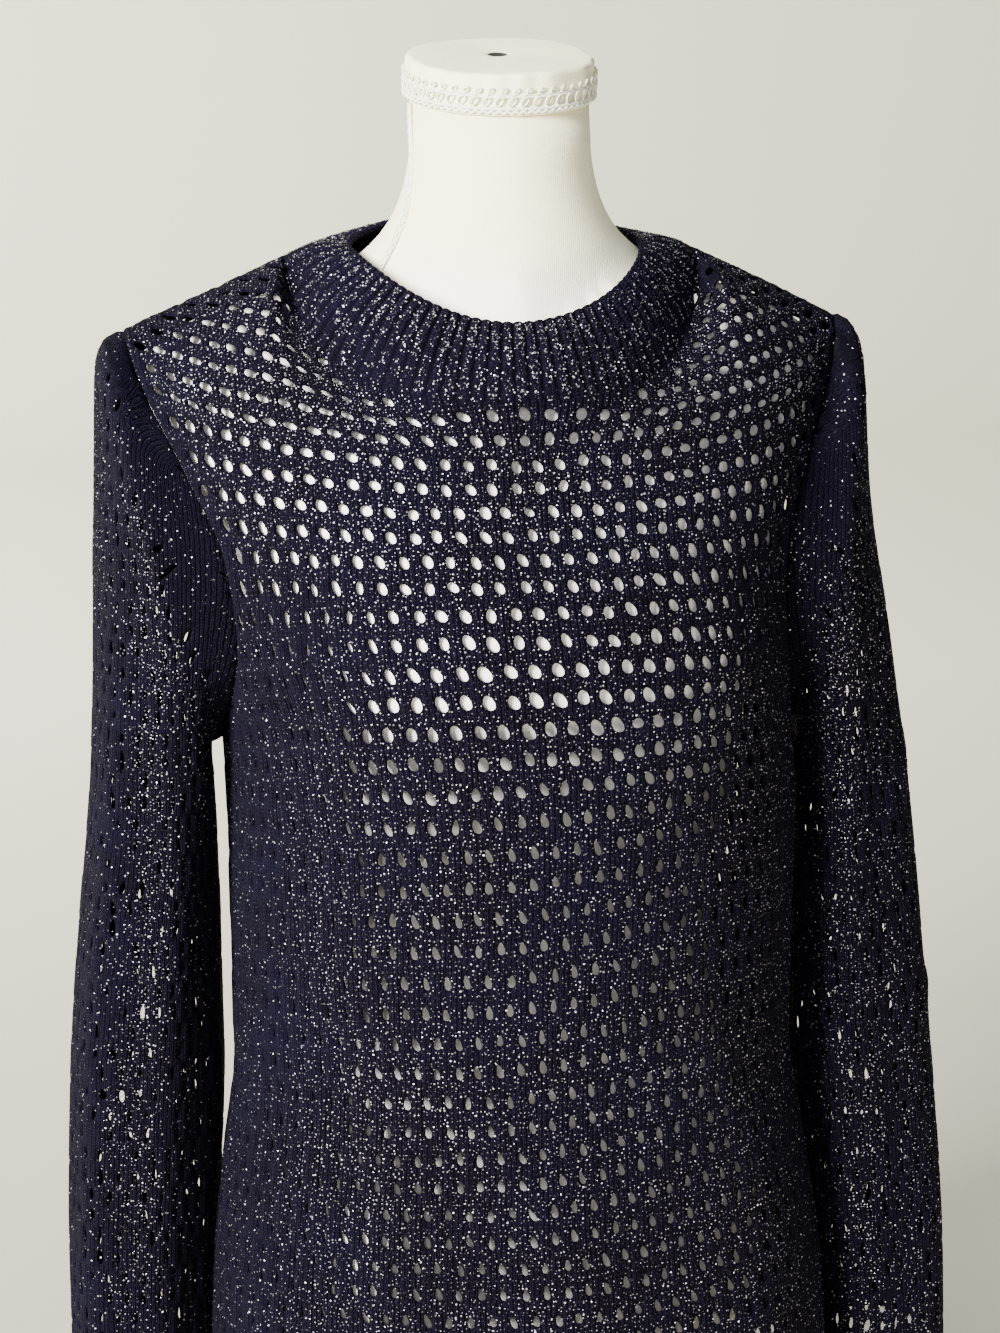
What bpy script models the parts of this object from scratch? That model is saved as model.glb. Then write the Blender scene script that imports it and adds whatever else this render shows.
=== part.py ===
import bpy
import math
import numpy as np

# sizes in metres, front of the garment toward -Y, floor at z = 0
WALL = 0.0020
SEAM_GAP = 0.0003
PART_OF_GAP = 0.9
LOW_ROWS = 11
ARMHOLE_ROWS = 12
SEAM_COLUMNS = 5
NECK_COLUMNS = 14
SLEEVE_ROWS = 17
HIGHEST_TURN = 1.7

# garment rows from hem to yoke: place up the panel, height at centre and side, half width,
# depth at centre and side, degrees that the row turns through from centre to side
ROW_NAMES = ("v", "z_mid", "z_side", "x_side", "y_mid", "y_side", "turn")
FRONT_ROWS = (
    (0.000, 0.145, 0.145, 0.1890, -0.1180, 0.004, 90),
    (0.105, 0.215, 0.215, 0.1860, -0.1175, 0.004, 90),
    (0.220, 0.290, 0.290, 0.1770, -0.1180, 0.004, 90),
    (0.340, 0.370, 0.370, 0.1660, -0.1205, 0.005, 90),
    (0.460, 0.450, 0.445, 0.1665, -0.1260, 0.006, 90),
    (0.570, 0.525, 0.512, 0.1670, -0.1330, 0.007, 90),
    (0.645, 0.582, 0.557, 0.1665, -0.1385, 0.008, 90),
    (0.700, 0.618, 0.590, 0.1620, -0.1400, -0.026, 80),
    (0.750, 0.650, 0.630, 0.1580, -0.1380, -0.046, 68),
    (0.800, 0.681, 0.673, 0.1610, -0.1335, -0.053, 62),
    (0.855, 0.711, 0.715, 0.1750, -0.1270, -0.043, 58),
    (0.915, 0.740, 0.760, 0.1950, -0.1205, -0.018, 54),
)
BACK_ROWS = (
    (0.000, 0.145, 0.145, 0.1890, 0.1020, 0.004, 90),
    (0.105, 0.215, 0.215, 0.1860, 0.1020, 0.004, 90),
    (0.220, 0.290, 0.290, 0.1770, 0.0985, 0.004, 90),
    (0.340, 0.370, 0.370, 0.1660, 0.0900, 0.005, 90),
    (0.460, 0.450, 0.445, 0.1665, 0.0860, 0.006, 90),
    (0.570, 0.528, 0.512, 0.1670, 0.0930, 0.007, 90),
    (0.645, 0.590, 0.557, 0.1665, 0.1020, 0.008, 90),
    (0.700, 0.632, 0.590, 0.1650, 0.1065, 0.042, 80),
    (0.750, 0.672, 0.630, 0.1655, 0.1090, 0.062, 68),
    (0.800, 0.712, 0.673, 0.1700, 0.1095, 0.069, 62),
    (0.855, 0.752, 0.715, 0.1805, 0.1070, 0.064, 58),
    (0.915, 0.788, 0.760, 0.1970, 0.1000, 0.044, 54),
)
ARMPIT_V = 0.645
ARMPIT_Z = 0.557
YOKE_V = 0.915
# shoulder seam ends, and the neckline seam at centre front and centre back
SHOULDER_TIP = (0.205, 0.012, 0.793)
NECK_TIP = (0.1180, 0.010, 0.8330)
FRONT_NECK = (-0.1150, 0.7680)
BACK_NECK = (0.0870, 0.8270)
NECK_TIP_U = 0.60
NECKLINE_POWER = {"front": 1.5, "back": 1.6}
# way of the cloth at the neckline: rise at the centre, depth at the centre and its gain at the tip
TOP_RISE = {"front": 0.95, "back": 0.90}
TOP_LEVEL = 0.42
TOP_LEVEL_GAIN = 0.45
TOP_TIP_RISE = 0.14
TOP_TIP_IN = 0.20
TOP_SEAM_DROP = 0.08
TOP_SEAM_PART = 0.40

# sideways lean of the hanging body and of the sleeves: height, shift
BODY_LEAN = (
    (0.145, 0.0140), (0.200, 0.0130), (0.300, 0.0100), (0.390, 0.0085), (0.500, 0.0085),
    (0.600, 0.0030), (0.700, -0.0055), (0.790, -0.0080), (0.820, -0.0040), (0.900, -0.0035),
)
SLEEVE_LEAN = (
    (0.145, 0.0140), (0.200, 0.0130), (0.300, 0.0100), (0.390, 0.0075), (0.500, 0.0060),
    (0.600, 0.0010), (0.700, -0.0060), (0.790, -0.0080), (0.900, -0.0035),
)

# soft flutes of the lower body: place round the half (u), height of the top, depth, width in u
FRONT_FOLDS = ((-0.62, 0.40, 0.0040, 0.10), (0.02, 0.44, 0.0050, 0.12), (0.46, 0.36, 0.0045, 0.11))
BACK_FOLDS = ((-0.45, 0.36, 0.0045, 0.12), (0.08, 0.42, 0.0040, 0.12), (0.55, 0.38, 0.0040, 0.10))
FOLD_FADE = 0.22
FOLD_POWER = 1.5

# lengthwise folds of the sleeves: side, degrees round from the outer line, rise, width in degrees
SLEEVE_FOLDS = (
    (-1, 44, 0.0045, 17), (-1, 78, -0.0030, 16), (-1, 128, -0.0055, 26), (-1, 250, 0.0035, 22),
    (1, 40, 0.0035, 20), (1, 75, -0.0030, 18), (1, 112, 0.0030, 18), (1, 262, -0.0040, 26),
)
SLEEVE_FOLD_START = 0.12
SLEEVE_FOLD_FULL = 0.45

# sleeve rings from the armhole down: outer point, inner point, centre depth, half depth
RING_NAMES = ("s", "x_out", "z_out", "x_in", "z_in", "y_mid", "y_half")
SLEEVE_RINGS = (
    (0.035, 0.2150, 0.7890, 0.1690, 0.5510, 0.010, 0.0625),
    (0.070, 0.2195, 0.7780, 0.1710, 0.5430, 0.011, 0.0630),
    (0.120, 0.2215, 0.7520, 0.1720, 0.5320, 0.013, 0.0620),
    (0.190, 0.2240, 0.7070, 0.1715, 0.5150, 0.016, 0.0605),
    (0.290, 0.2310, 0.6350, 0.1708, 0.4860, 0.020, 0.0590),
    (0.410, 0.2400, 0.5450, 0.1700, 0.4400, 0.024, 0.0575),
    (0.550, 0.2525, 0.4400, 0.1700, 0.3750, 0.028, 0.0560),
    (0.700, 0.2630, 0.3300, 0.1740, 0.2960, 0.030, 0.0545),
    (0.850, 0.2690, 0.2300, 0.1800, 0.2180, 0.030, 0.0530),
    (1.000, 0.2710, 0.1400, 0.1850, 0.1400, 0.030, 0.0510),
)

UNDERARM_REACH = 0.10
UNDERARM_BULGE = 0.0050
SLEEVE_CLEAR = 0.0030
SLEEVE_CLEAR_FADE = 0.030
CLEAR_ROUND = 0.0020
SLEEVE_CORE = (0.205, 0.018, 0.70)
BODY_CORE = (0.02, 0.74)
BAND_CORE = 0.70
NORMAL_STEP = 0.0015
EDGE_KEEP = 0.0016

# ribbed neckband
RIBS = 90
COLUMNS_A_RIB = 2
BAND_ROWS = 2
BAND_WALL = 0.0018
RIB_RISE = 0.0014
BAND_BULGE = 0.0035
INNER_HALF = 0.0825
INNER_FRONT = (-0.0890, 0.8065)
INNER_SIDE = (-0.0060, 0.8395)
INNER_BACK = (0.0660, 0.8510)
INNER_POWER = 1.8
BAND_AWAY = (0.35, 0.55, 0.75)

# dress form: height, half width, front depth, back depth, squareness
FORM_ROWS = (
    (0.1950, 0.1500, 0.0980, 0.0870, 2.2),
    (0.2010, 0.1535, 0.1010, 0.0900, 2.2),
    (0.2200, 0.1580, 0.1035, 0.0915, 2.2),
    (0.2700, 0.1600, 0.1050, 0.0900, 2.2),
    (0.3400, 0.1490, 0.1000, 0.0800, 2.2),
    (0.4000, 0.1310, 0.0910, 0.0700, 2.2),
    (0.4500, 0.1220, 0.0870, 0.0660, 2.2),
    (0.5000, 0.1290, 0.0960, 0.0720, 2.2),
    (0.5500, 0.1390, 0.1180, 0.0830, 2.2),
    (0.5900, 0.1430, 0.1310, 0.0930, 2.2),
    (0.6200, 0.1460, 0.1362, 0.0995, 2.2),
    (0.6500, 0.1460, 0.1330, 0.1030, 2.1),
    (0.6900, 0.1480, 0.1265, 0.1055, 2.0),
    (0.7300, 0.1550, 0.1165, 0.1040, 1.85),
    (0.7600, 0.1610, 0.1040, 0.1005, 1.7),
    (0.7800, 0.1580, 0.0905, 0.0960, 1.45),
    (0.8000, 0.1390, 0.0780, 0.0880, 1.3),
    (0.8150, 0.1140, 0.0690, 0.0780, 1.3),
    (0.8270, 0.0920, 0.0640, 0.0710, 1.4),
    (0.8380, 0.0755, 0.0620, 0.0640, 1.7),
    (0.8500, 0.0640, 0.0570, 0.0590, 2.0),
    (0.8650, 0.0565, 0.0540, 0.0560, 2.0),
    (0.8800, 0.0525, 0.0525, 0.0530, 2.0),
    (0.8950, 0.0508, 0.0510, 0.0512, 2.0),
)
# where the cloth lies on the form: most that the form swells to meet it, the gap left between
# them, and the heights where the swelling starts, is full, starts to end and has ended
FORM_SWELL = 0.050
CLOTH_REST = 0.0014
SHOULDER_REST = 0.0046
SHOULDER_FROM = 0.720
SHOULDER_FULL = 0.775
SWELL_FROM = 0.585
SWELL_FULL = 0.625
SWELL_STEP = 0.013
SWELL_LAST = 0.796
SWELL_TOP = 0.826
FIT_PARTS = 4
ARM_PLATE_FROM = 0.660
ARM_PLATE_FULL = 0.720
ARM_PLATE_IN = 0.002
REACH_COLUMNS = 121
REACH_ROWS = 160
SMOOTH_TURNS = 2
NECK_TOP_RADIUS = 0.0505
FORM_AROUND = 48
CAP_RADIUS = 0.0530
CAP_HEIGHT = 0.0230
CAP_TILT = math.radians(7.5)
CAP_BASE_Z = 0.9210
CAP_TOP_Z = CAP_BASE_Z + CAP_HEIGHT
POLE_RADIUS = 0.0140
BASE_RADIUS = 0.1500
BASE_HEIGHT = 0.0180
ROUND_SIDES = 48
CAP_EDGE = 0.0015
CAP_FOOT = 0.0008
CAP_FOOT_HEIGHT = 0.0010
BASE_EDGE = 0.0030
TINY = 1e-9
SAME_PLACE = 1e-6
CAP_STEP = 0.004
EDGE_LOOK = 0.01
SIDE_LOOK = 0.98
NECK_LOOK = 0.985
CUFF_CROWD = 1.35
REACH_START = 0.5


def table(rows, names, name):
    return np.array([row[names.index(name)] for row in rows], float)


def smooth(x, y, at):
    """cubic through the points of a table that never passes above or below its neighbours"""
    x = np.asarray(x, float)
    y = np.asarray(y, float)
    at = np.clip(np.asarray(at, float), x[0], x[-1])
    step = np.diff(x)
    rise = np.diff(y) / step
    slope = np.empty(len(x))
    both = rise[:-1] * rise[1:]
    total = rise[:-1] + rise[1:]
    slope[1:-1] = np.where(both > 0, 2 * both / np.where(total == 0, 1, total), 0)
    slope[0] = rise[0]
    slope[-1] = rise[-1]
    i = np.clip(np.searchsorted(x, at, side="right") - 1, 0, len(x) - 2)
    t = (at - x[i]) / step[i]
    low = y[i] * (2 * t ** 3 - 3 * t ** 2 + 1) + y[i + 1] * (3 * t ** 2 - 2 * t ** 3)
    return low + step[i] * (slope[i] * (t ** 3 - 2 * t ** 2 + t) + slope[i + 1] * (t ** 3 - t ** 2))


def lean(rows, z):
    return smooth([row[0] for row in rows], [row[1] for row in rows], z)


def unit(v):
    return v / np.maximum(np.linalg.norm(v, axis=-1, keepdims=True), 1e-12)


def ease(low, high, x):
    """smooth step from 0 at low to 1 at high"""
    t = np.clip((x - low) / (high - low), 0, 1)
    return t * t * (3 - 2 * t)


def row_point(rows, u, v):
    """point of a body row: the row turns from the centre to the side through its angle"""
    column = {name: smooth(table(rows, ROW_NAMES, "v"), table(rows, ROW_NAMES, name), v)
              for name in ROW_NAMES[1:]}
    turn = np.radians(column["turn"])
    x = column["x_side"] * np.sin(turn * u) / np.sin(turn)
    back = (1 - np.cos(turn * u)) / (1 - np.cos(turn))
    y = column["y_mid"] + (column["y_side"] - column["y_mid"]) * back
    z = column["z_mid"] + (column["z_side"] - column["z_mid"]) * u ** 2
    return np.stack([x, y, z], -1)


def neckline(part, phi):
    """neckline seam at angle phi from the centre, up to the shoulder seam at 90 degrees"""
    mid = FRONT_NECK if part == "front" else BACK_NECK
    x = NECK_TIP[0] * np.sin(phi)
    y = NECK_TIP[1] + (mid[0] - NECK_TIP[1]) * np.cos(phi)
    z = mid[1] + (NECK_TIP[2] - mid[1]) * (1 - np.abs(np.cos(phi))) ** NECKLINE_POWER[part]
    return np.stack([x, y, z], -1)


def top_edge(part, u):
    """top of a panel: neckline to the neck tip, then the shoulder seam"""
    a = np.abs(u)
    side = np.sign(u)
    phi = np.minimum(a / NECK_TIP_U, 1) * math.pi / 2
    neck = neckline(part, phi)
    t = np.clip((a - NECK_TIP_U) / (1 - NECK_TIP_U), 0, 1)[..., None]
    tip = neckline(part, np.full_like(phi, math.pi / 2))
    seam = tip + (np.array(SHOULDER_TIP) - tip) * t
    point = np.where((a <= NECK_TIP_U)[..., None], neck, seam)
    return point * np.stack([np.where(side < 0, -1.0, 1.0), np.ones_like(u), np.ones_like(u)], -1)


def top_way(part, u):
    """way that the cloth runs as it reaches the top edge"""
    a = np.abs(u)
    to_back = 1.0 if part == "front" else -1.0
    t = np.clip(a / NECK_TIP_U, 0, 1) ** 2
    past = np.clip((a - NECK_TIP_U) / (TOP_SEAM_PART * (1 - NECK_TIP_U)), 0, 1)
    x = -TOP_TIP_IN * t * np.sign(u) * (1 - past)
    y = to_back * (TOP_LEVEL + TOP_LEVEL_GAIN * t)
    z = TOP_RISE[part] * (1 - t) + TOP_TIP_RISE * t - TOP_SEAM_DROP * past
    return unit(np.stack([x, y, z], -1))


def body(part, u, v):
    """garment surface, u from side to side and v from the hem to the top edge"""
    u, v = np.broadcast_arrays(np.asarray(u, float), np.asarray(v, float))
    rows = FRONT_ROWS if part == "front" else BACK_ROWS
    below = row_point(rows, u, np.minimum(v, YOKE_V))
    start = row_point(rows, u, np.full_like(u, YOKE_V))
    earlier = row_point(rows, u, np.full_like(u, YOKE_V - EDGE_LOOK))
    end = top_edge(part, u)
    reach = np.linalg.norm(end - start, axis=-1, keepdims=True)
    way_in = unit(start - earlier) * reach
    way_out = top_way(part, u) * reach
    t = np.clip((v - YOKE_V) / (1 - YOKE_V), 0, 1)[..., None]
    above = (start * (2 * t ** 3 - 3 * t ** 2 + 1) + end * (3 * t ** 2 - 2 * t ** 3)
             + way_in * (t ** 3 - 2 * t ** 2 + t) + way_out * (t ** 3 - t ** 2))
    p = np.where((v <= YOKE_V)[..., None], below, above)
    out = 0.0
    for place, top, depth, wide in (FRONT_FOLDS if part == "front" else BACK_FOLDS):
        fade = np.clip((top - p[..., 2]) / FOLD_FADE, 0, 1)
        out = out + depth * fade ** FOLD_POWER * np.exp(-((u - place) / wide) ** 2)
    p = p.copy()
    p[..., 1] += out * (-1 if part == "front" else 1)
    p[..., 0] += lean(BODY_LEAN, p[..., 2])
    return p


def slopes_normal(surface, u, v, out_of):
    """unit normal from small steps along both ways of a surface, turned out of a centre line"""
    h = NORMAL_STEP
    du = surface(u + h, v) - surface(u - h, v)
    dv = surface(u, v + h) - surface(u, v - h)
    n = unit(np.cross(du, dv))
    p = surface(u, v)
    away = p - out_of(p)
    turn = np.sign((n * away).sum(-1, keepdims=True))
    return n * np.where(turn == 0, 1, turn)


def body_normal(part, u, v):
    inside = 1 - NORMAL_STEP
    return slopes_normal(lambda a, b: body(part, a, b), np.clip(u, -inside, inside),
                         np.clip(v, EDGE_KEEP, inside), body_core)


def body_core(p):
    core = np.zeros_like(p)
    core[..., 0] = lean(BODY_LEAN, p[..., 2])
    core[..., 2] = np.minimum(p[..., 2] - BODY_CORE[0], BODY_CORE[1])
    return core


def armhole(side, angle):
    """armhole seam at an angle from the shoulder tip, forward first; returns points and normals"""
    a = np.mod(angle, 2 * math.pi)
    front = a <= math.pi
    part_turn = np.where(front, a, 2 * math.pi - a)
    v = np.interp(part_turn, [0, math.pi], [1.0, ARMPIT_V])
    u = np.full_like(v, float(side))
    p = np.where(front[..., None], body("front", u, v), body("back", u, v))
    n_front = body_normal("front", u, v)
    n_back = body_normal("back", u, v)
    n = np.where(front[..., None], n_front, n_back)
    return p, n


def body_side(y, z):
    """half width of the body below the armpit at a depth and height"""
    high = table(FRONT_ROWS, ROW_NAMES, "z_side")
    half = smooth(high, table(FRONT_ROWS, ROW_NAMES, "x_side"), np.minimum(z, ARMPIT_Z))
    side_y = smooth(high, table(FRONT_ROWS, ROW_NAMES, "y_side"), np.minimum(z, ARMPIT_Z))
    front_y = smooth(high, table(FRONT_ROWS, ROW_NAMES, "y_mid"), np.minimum(z, ARMPIT_Z))
    back_y = smooth(high, table(BACK_ROWS, ROW_NAMES, "y_mid"), np.minimum(z, ARMPIT_Z))
    deep = np.where(y < side_y, side_y - front_y, back_y - side_y)
    return half * np.sqrt(np.clip(1 - ((y - side_y) / deep) ** 2, 0, 1))


def sleeve_fold(side, angle, s):
    """rise of the sleeve's lengthwise folds at an angle, from the upper arm down"""
    rise = np.zeros_like(angle)
    for own, place, depth, wide in SLEEVE_FOLDS:
        off = np.mod(angle - math.radians(place) + math.pi, 2 * math.pi) - math.pi
        rise = rise + (own == side) * depth * np.exp(-(off / math.radians(wide)) ** 2)
    return rise * ease(SLEEVE_FOLD_START, SLEEVE_FOLD_FULL, s)


def sleeve(side, angle, s):
    """sleeve surface, angle round it from the outer line forward, s from the armhole to the cuff"""
    angle, s = np.broadcast_arrays(np.asarray(angle, float), np.asarray(s, float))
    first = SLEEVE_RINGS[0][0]
    at = np.maximum(s, first)
    col = {name: smooth(table(SLEEVE_RINGS, RING_NAMES, "s"), table(SLEEVE_RINGS, RING_NAMES, name), at)
           for name in RING_NAMES[1:]}
    blend = 0.5 + 0.5 * np.cos(angle)
    x = col["x_in"] + (col["x_out"] - col["x_in"]) * blend
    z = col["z_in"] + (col["z_out"] - col["z_in"]) * blend
    y = col["y_mid"] - col["y_half"] * np.sin(angle)
    fold = sleeve_fold(side, angle, at)
    x = x + fold * np.cos(angle)
    y = y - fold * np.sin(angle)
    gap = SLEEVE_CLEAR * np.clip((ARMPIT_Z - z) / SLEEVE_CLEAR_FADE, 0, 1)
    shift = (lean(BODY_LEAN, z) - lean(SLEEVE_LEAN, z)) * side
    least = np.where(z < ARMPIT_Z, body_side(y, z) + gap + shift, 0)
    x = (x + least + np.sqrt((x - least) ** 2 + CLEAR_ROUND ** 2)) / 2
    x = x * side + lean(SLEEVE_LEAN, z)
    ring = np.stack([x, y, z], -1)
    hole, _ = armhole(side, angle)
    reach = first + (UNDERARM_REACH - first) * (1 - blend)
    t = np.clip(s / reach, 0, 1)[..., None]
    p = hole * (1 - t) + ring * t
    p[..., 0] += side * UNDERARM_BULGE * (4 * t * (1 - t))[..., 0] * (1 - blend)
    return p


def sleeve_normal(side, angle, s):
    def core(p):
        c = p.copy()
        c[..., 0] = side * SLEEVE_CORE[0] + lean(SLEEVE_LEAN, p[..., 2])
        c[..., 1] = SLEEVE_CORE[1]
        c[..., 2] = np.minimum(p[..., 2], SLEEVE_CORE[2])
        return c
    inside = np.clip(s, EDGE_KEEP, 1 - EDGE_KEEP)
    return slopes_normal(lambda a, b: sleeve(side, a, b), angle, inside, core)


def band_edge(phi, which):
    """neckband loops at angle phi from the centre front: the neckline seam and the free edge"""
    turn = np.mod(phi + math.pi, 2 * math.pi) - math.pi
    front = np.abs(turn) <= math.pi / 2
    if which == "seam":
        near = np.where(front, np.abs(turn), math.pi - np.abs(turn))
        p = np.where(front[..., None], neckline("front", near), neckline("back", near))
        p[..., 0] *= np.where(turn < 0, -1, 1)
    else:
        c = np.cos(turn)
        mid_y = np.where(front, INNER_FRONT[0], INNER_BACK[0])
        mid_z = np.where(front, INNER_FRONT[1], INNER_BACK[1])
        x = INNER_HALF * np.sin(turn)
        y = INNER_SIDE[0] + (mid_y - INNER_SIDE[0]) * np.abs(c)
        z = INNER_SIDE[1] + (mid_z - INNER_SIDE[1]) * np.abs(c) ** INNER_POWER
        p = np.stack([x, y, z], -1)
    p[..., 0] += lean(BODY_LEAN, p[..., 2])
    return p


def band(phi, t):
    """neckband surface, phi round the neck and t from the neckline seam to the free edge"""
    phi, t = np.broadcast_arrays(np.asarray(phi, float), np.asarray(t, float))
    seam = band_edge(phi, "seam")
    free = band_edge(phi, "free")
    away = unit(np.stack([np.sin(phi) * BAND_AWAY[0], -np.cos(phi) * BAND_AWAY[1],
                          np.full_like(phi, BAND_AWAY[2])], -1))
    return seam + (free - seam) * t[..., None] + away * (BAND_BULGE * 4 * t * (1 - t))[..., None]


def band_normal(phi, t):
    def core(p):
        c = np.zeros_like(p)
        c[..., 2] = BAND_CORE
        return c
    return slopes_normal(band, phi, np.clip(t, EDGE_KEEP, 1 - EDGE_KEEP), core)


def shared(n_one, n_two):
    """normal on the line that halves two walls' meeting, longer where they meet at an angle"""
    n = unit(n_one + n_two)
    cos = np.clip((n * n_one).sum(-1, keepdims=True), 1 / HIGHEST_TURN, 1)
    return n / cos


def set_material(ob, name, colour, roughness, metallic=0.0):
    mat = bpy.data.materials.new(name)
    mat.use_nodes = True
    shader = mat.node_tree.nodes["Principled BSDF"]
    shader.inputs["Base Color"].default_value = (*colour, 1)
    shader.inputs["Roughness"].default_value = roughness
    shader.inputs["Metallic"].default_value = metallic
    ob.data.materials.append(mat)


def add_mesh(name, verts, faces, colour, roughness=0.85, metallic=0.0, smooth_faces=True):
    mesh = bpy.data.meshes.new(name)
    mesh.from_pydata([tuple(map(float, p)) for p in verts], [], faces)
    mesh.update()
    if smooth_faces:
        mesh.polygons.foreach_set("use_smooth", [True] * len(mesh.polygons))
    ob = bpy.data.objects.new(name, mesh)
    bpy.context.scene.collection.objects.link(ob)
    set_material(ob, name, colour, roughness, metallic)
    return ob


def rim_faces(verts, a, b, count):
    """two triangles of a wall's rim, cut from the lower outer point to the higher inner point"""
    if verts[a][2] <= verts[b][2]:
        return [(a, count + a, count + b), (a, count + b, b)]
    return [(a, count + a, b), (count + a, count + b, b)]


def wall_sheet(name, outer, inner, colour, around=False):
    """closed wall between two grids of points; around joins the last column to the first"""
    rows, cols = outer.shape[:2]
    verts = np.concatenate([outer.reshape(-1, 3), inner.reshape(-1, 3)])
    count = rows * cols
    faces = []
    spans = cols if around else cols - 1
    for r in range(rows - 1):
        for c in range(spans):
            d = (c + 1) % cols
            a, b, e, f = r * cols + c, r * cols + d, (r + 1) * cols + d, (r + 1) * cols + c
            faces.append((a, b, e, f))
            faces.append((count + f, count + e, count + b, count + a))
    rims = []
    top = (rows - 1) * cols
    for c in range(spans):
        d = (c + 1) % cols
        rims += [(c, d), (top + d, top + c)]
    if not around:
        for r in range(rows - 1):
            a, b = r * cols, (r + 1) * cols
            rims += [(b, a), (a + cols - 1, b + cols - 1)]
    for a, b in rims:
        faces += rim_faces(verts, a, b, count)
    return add_mesh(name, verts, faces, colour)


def turn_out(ob):
    """turn the faces over where the mesh's signed volume is negative"""
    mesh = ob.data
    total = 0.0
    for poly in mesh.polygons:
        pts = [mesh.vertices[i].co for i in poly.vertices]
        for k in range(1, len(pts) - 1):
            total += pts[0].dot(pts[k].cross(pts[k + 1]))
    if total < 0:
        mesh.flip_normals()
    return ob


def sleeve_start_normal(side, angle):
    _, n_body = armhole(side, angle)
    return shared(n_body, sleeve_normal(side, angle, np.full_like(angle, CAP_STEP)))


def panel_columns():
    """places across a panel, with one at each neck tip"""
    out = np.linspace(NECK_TIP_U, 1, SEAM_COLUMNS + 1)
    mid = np.linspace(-NECK_TIP_U, NECK_TIP_U, NECK_COLUMNS + 1)
    return np.concatenate([-out[:0:-1], mid, out[1:]])


def seam_up(side):
    """normal of the shoulder seam, square to it and level front to back"""
    run = np.array(SHOULDER_TIP) - np.array(NECK_TIP)
    return unit(np.array([-run[2] * side, 0.0, run[0]]))


def make_panel(name, part, colour):
    """front or back panel: hem, side seams, armholes, shoulder seams and neckline"""
    u = panel_columns()
    v_low = np.linspace(0, ARMPIT_V, LOW_ROWS + 1)
    v = np.concatenate([v_low, np.linspace(ARMPIT_V, 1, ARMHOLE_ROWS + 1)[1:]])
    uu, vv = np.meshgrid(u, v)
    outer = body(part, uu, vv)
    n = body_normal(part, uu, vv)
    to_own = -1.0 if part == "front" else 1.0
    inset = np.zeros_like(outer)
    last = len(v) - 1
    for edge, side in ((0, -1), (-1, 1)):
        low = np.arange(len(v)) < LOW_ROWS
        high = ~low
        flat = n[:, edge] * (1, 0, 1)
        n[low, edge] = unit(flat)[low]
        inset[low, edge] = (0, to_own, 0)
        turned = (1 - v[high]) / (1 - ARMPIT_V) * math.pi
        angle = turned if part == "front" else 2 * math.pi - turned
        n[high, edge] = sleeve_start_normal(side, angle)
        along = body(part, np.full(high.sum(), side * SIDE_LOOK), v[high]) - outer[high, edge]
        inset[high, edge] = unit(along)
        inset[LOW_ROWS, edge] += (0, to_own, 0)
    for c in range(len(u)):
        side = np.sign(u[c])
        on_neck = abs(u[c]) <= NECK_TIP_U + TINY
        at_tip = abs(abs(u[c]) - NECK_TIP_U) < TINY
        if on_neck:
            phi = u[c] / NECK_TIP_U * math.pi / 2
            phi = phi if part == "front" else math.pi - phi
            n_band = band_normal(np.array([phi]), np.array([EDGE_LOOK]))[0]
            n[last, c] = shared(seam_up(side) if at_tip else n[last, c], n_band)
            below = body(part, np.array([u[c]]), np.array([NECK_LOOK]))[0] - outer[last, c]
            inset[last, c] = unit(below)
        elif c not in (0, len(u) - 1):
            n[last, c] = seam_up(side)
        if not on_neck or at_tip:
            inset[last, c] += (0, to_own, 0)
    outer = outer + inset * (SEAM_GAP * PART_OF_GAP)
    inner = outer - n * WALL
    return turn_out(wall_sheet(name, outer, inner, colour))


def make_sleeve(name, side, colour):
    """sleeve tube from the armhole to the open cuff, its columns met by the panels' rows"""
    angle = np.linspace(0, 2 * math.pi, 2 * ARMHOLE_ROWS, endpoint=False)
    s = np.linspace(0, 1, SLEEVE_ROWS + 1) ** CUFF_CROWD
    aa, ss = np.meshgrid(angle, s)
    outer = sleeve(side, aa, ss)
    n = sleeve_normal(side, aa, ss)
    n[0] = sleeve_start_normal(side, angle)
    ahead = sleeve(side, angle, np.full_like(angle, EDGE_LOOK)) - outer[0]
    outer[0] += unit(ahead) * SEAM_GAP * PART_OF_GAP
    return turn_out(wall_sheet(name, outer, outer - n * WALL, colour, around=True))


def on_chords(phi, values):
    """straight interpolation of a seam's values between the angles that the panels' columns meet"""
    step = math.pi / NECK_COLUMNS
    k = np.floor(phi / step + TINY)
    t = (phi / step - k)[:, None]
    return values(k * step) * (1 - t) + values((k + 1) * step) * t


def seam_normals(phi):
    """normals that the neckband and the panels share along the neckline seam"""
    turn = np.mod(phi + math.pi, 2 * math.pi) - math.pi
    u = np.arcsin(np.clip(np.sin(turn), -1, 1)) / (math.pi / 2) * NECK_TIP_U
    top = np.ones_like(u)
    front = np.cos(turn) > 0
    n_body = np.where(front[:, None], body_normal("front", u, top), body_normal("back", u, top))
    at_tip = np.abs(np.abs(u) - NECK_TIP_U) < SAME_PLACE
    for i in np.where(at_tip)[0]:
        n_body[i] = seam_up(np.sign(u[i]))
    return shared(n_body, band_normal(phi, np.full_like(phi, EDGE_LOOK)))


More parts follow.
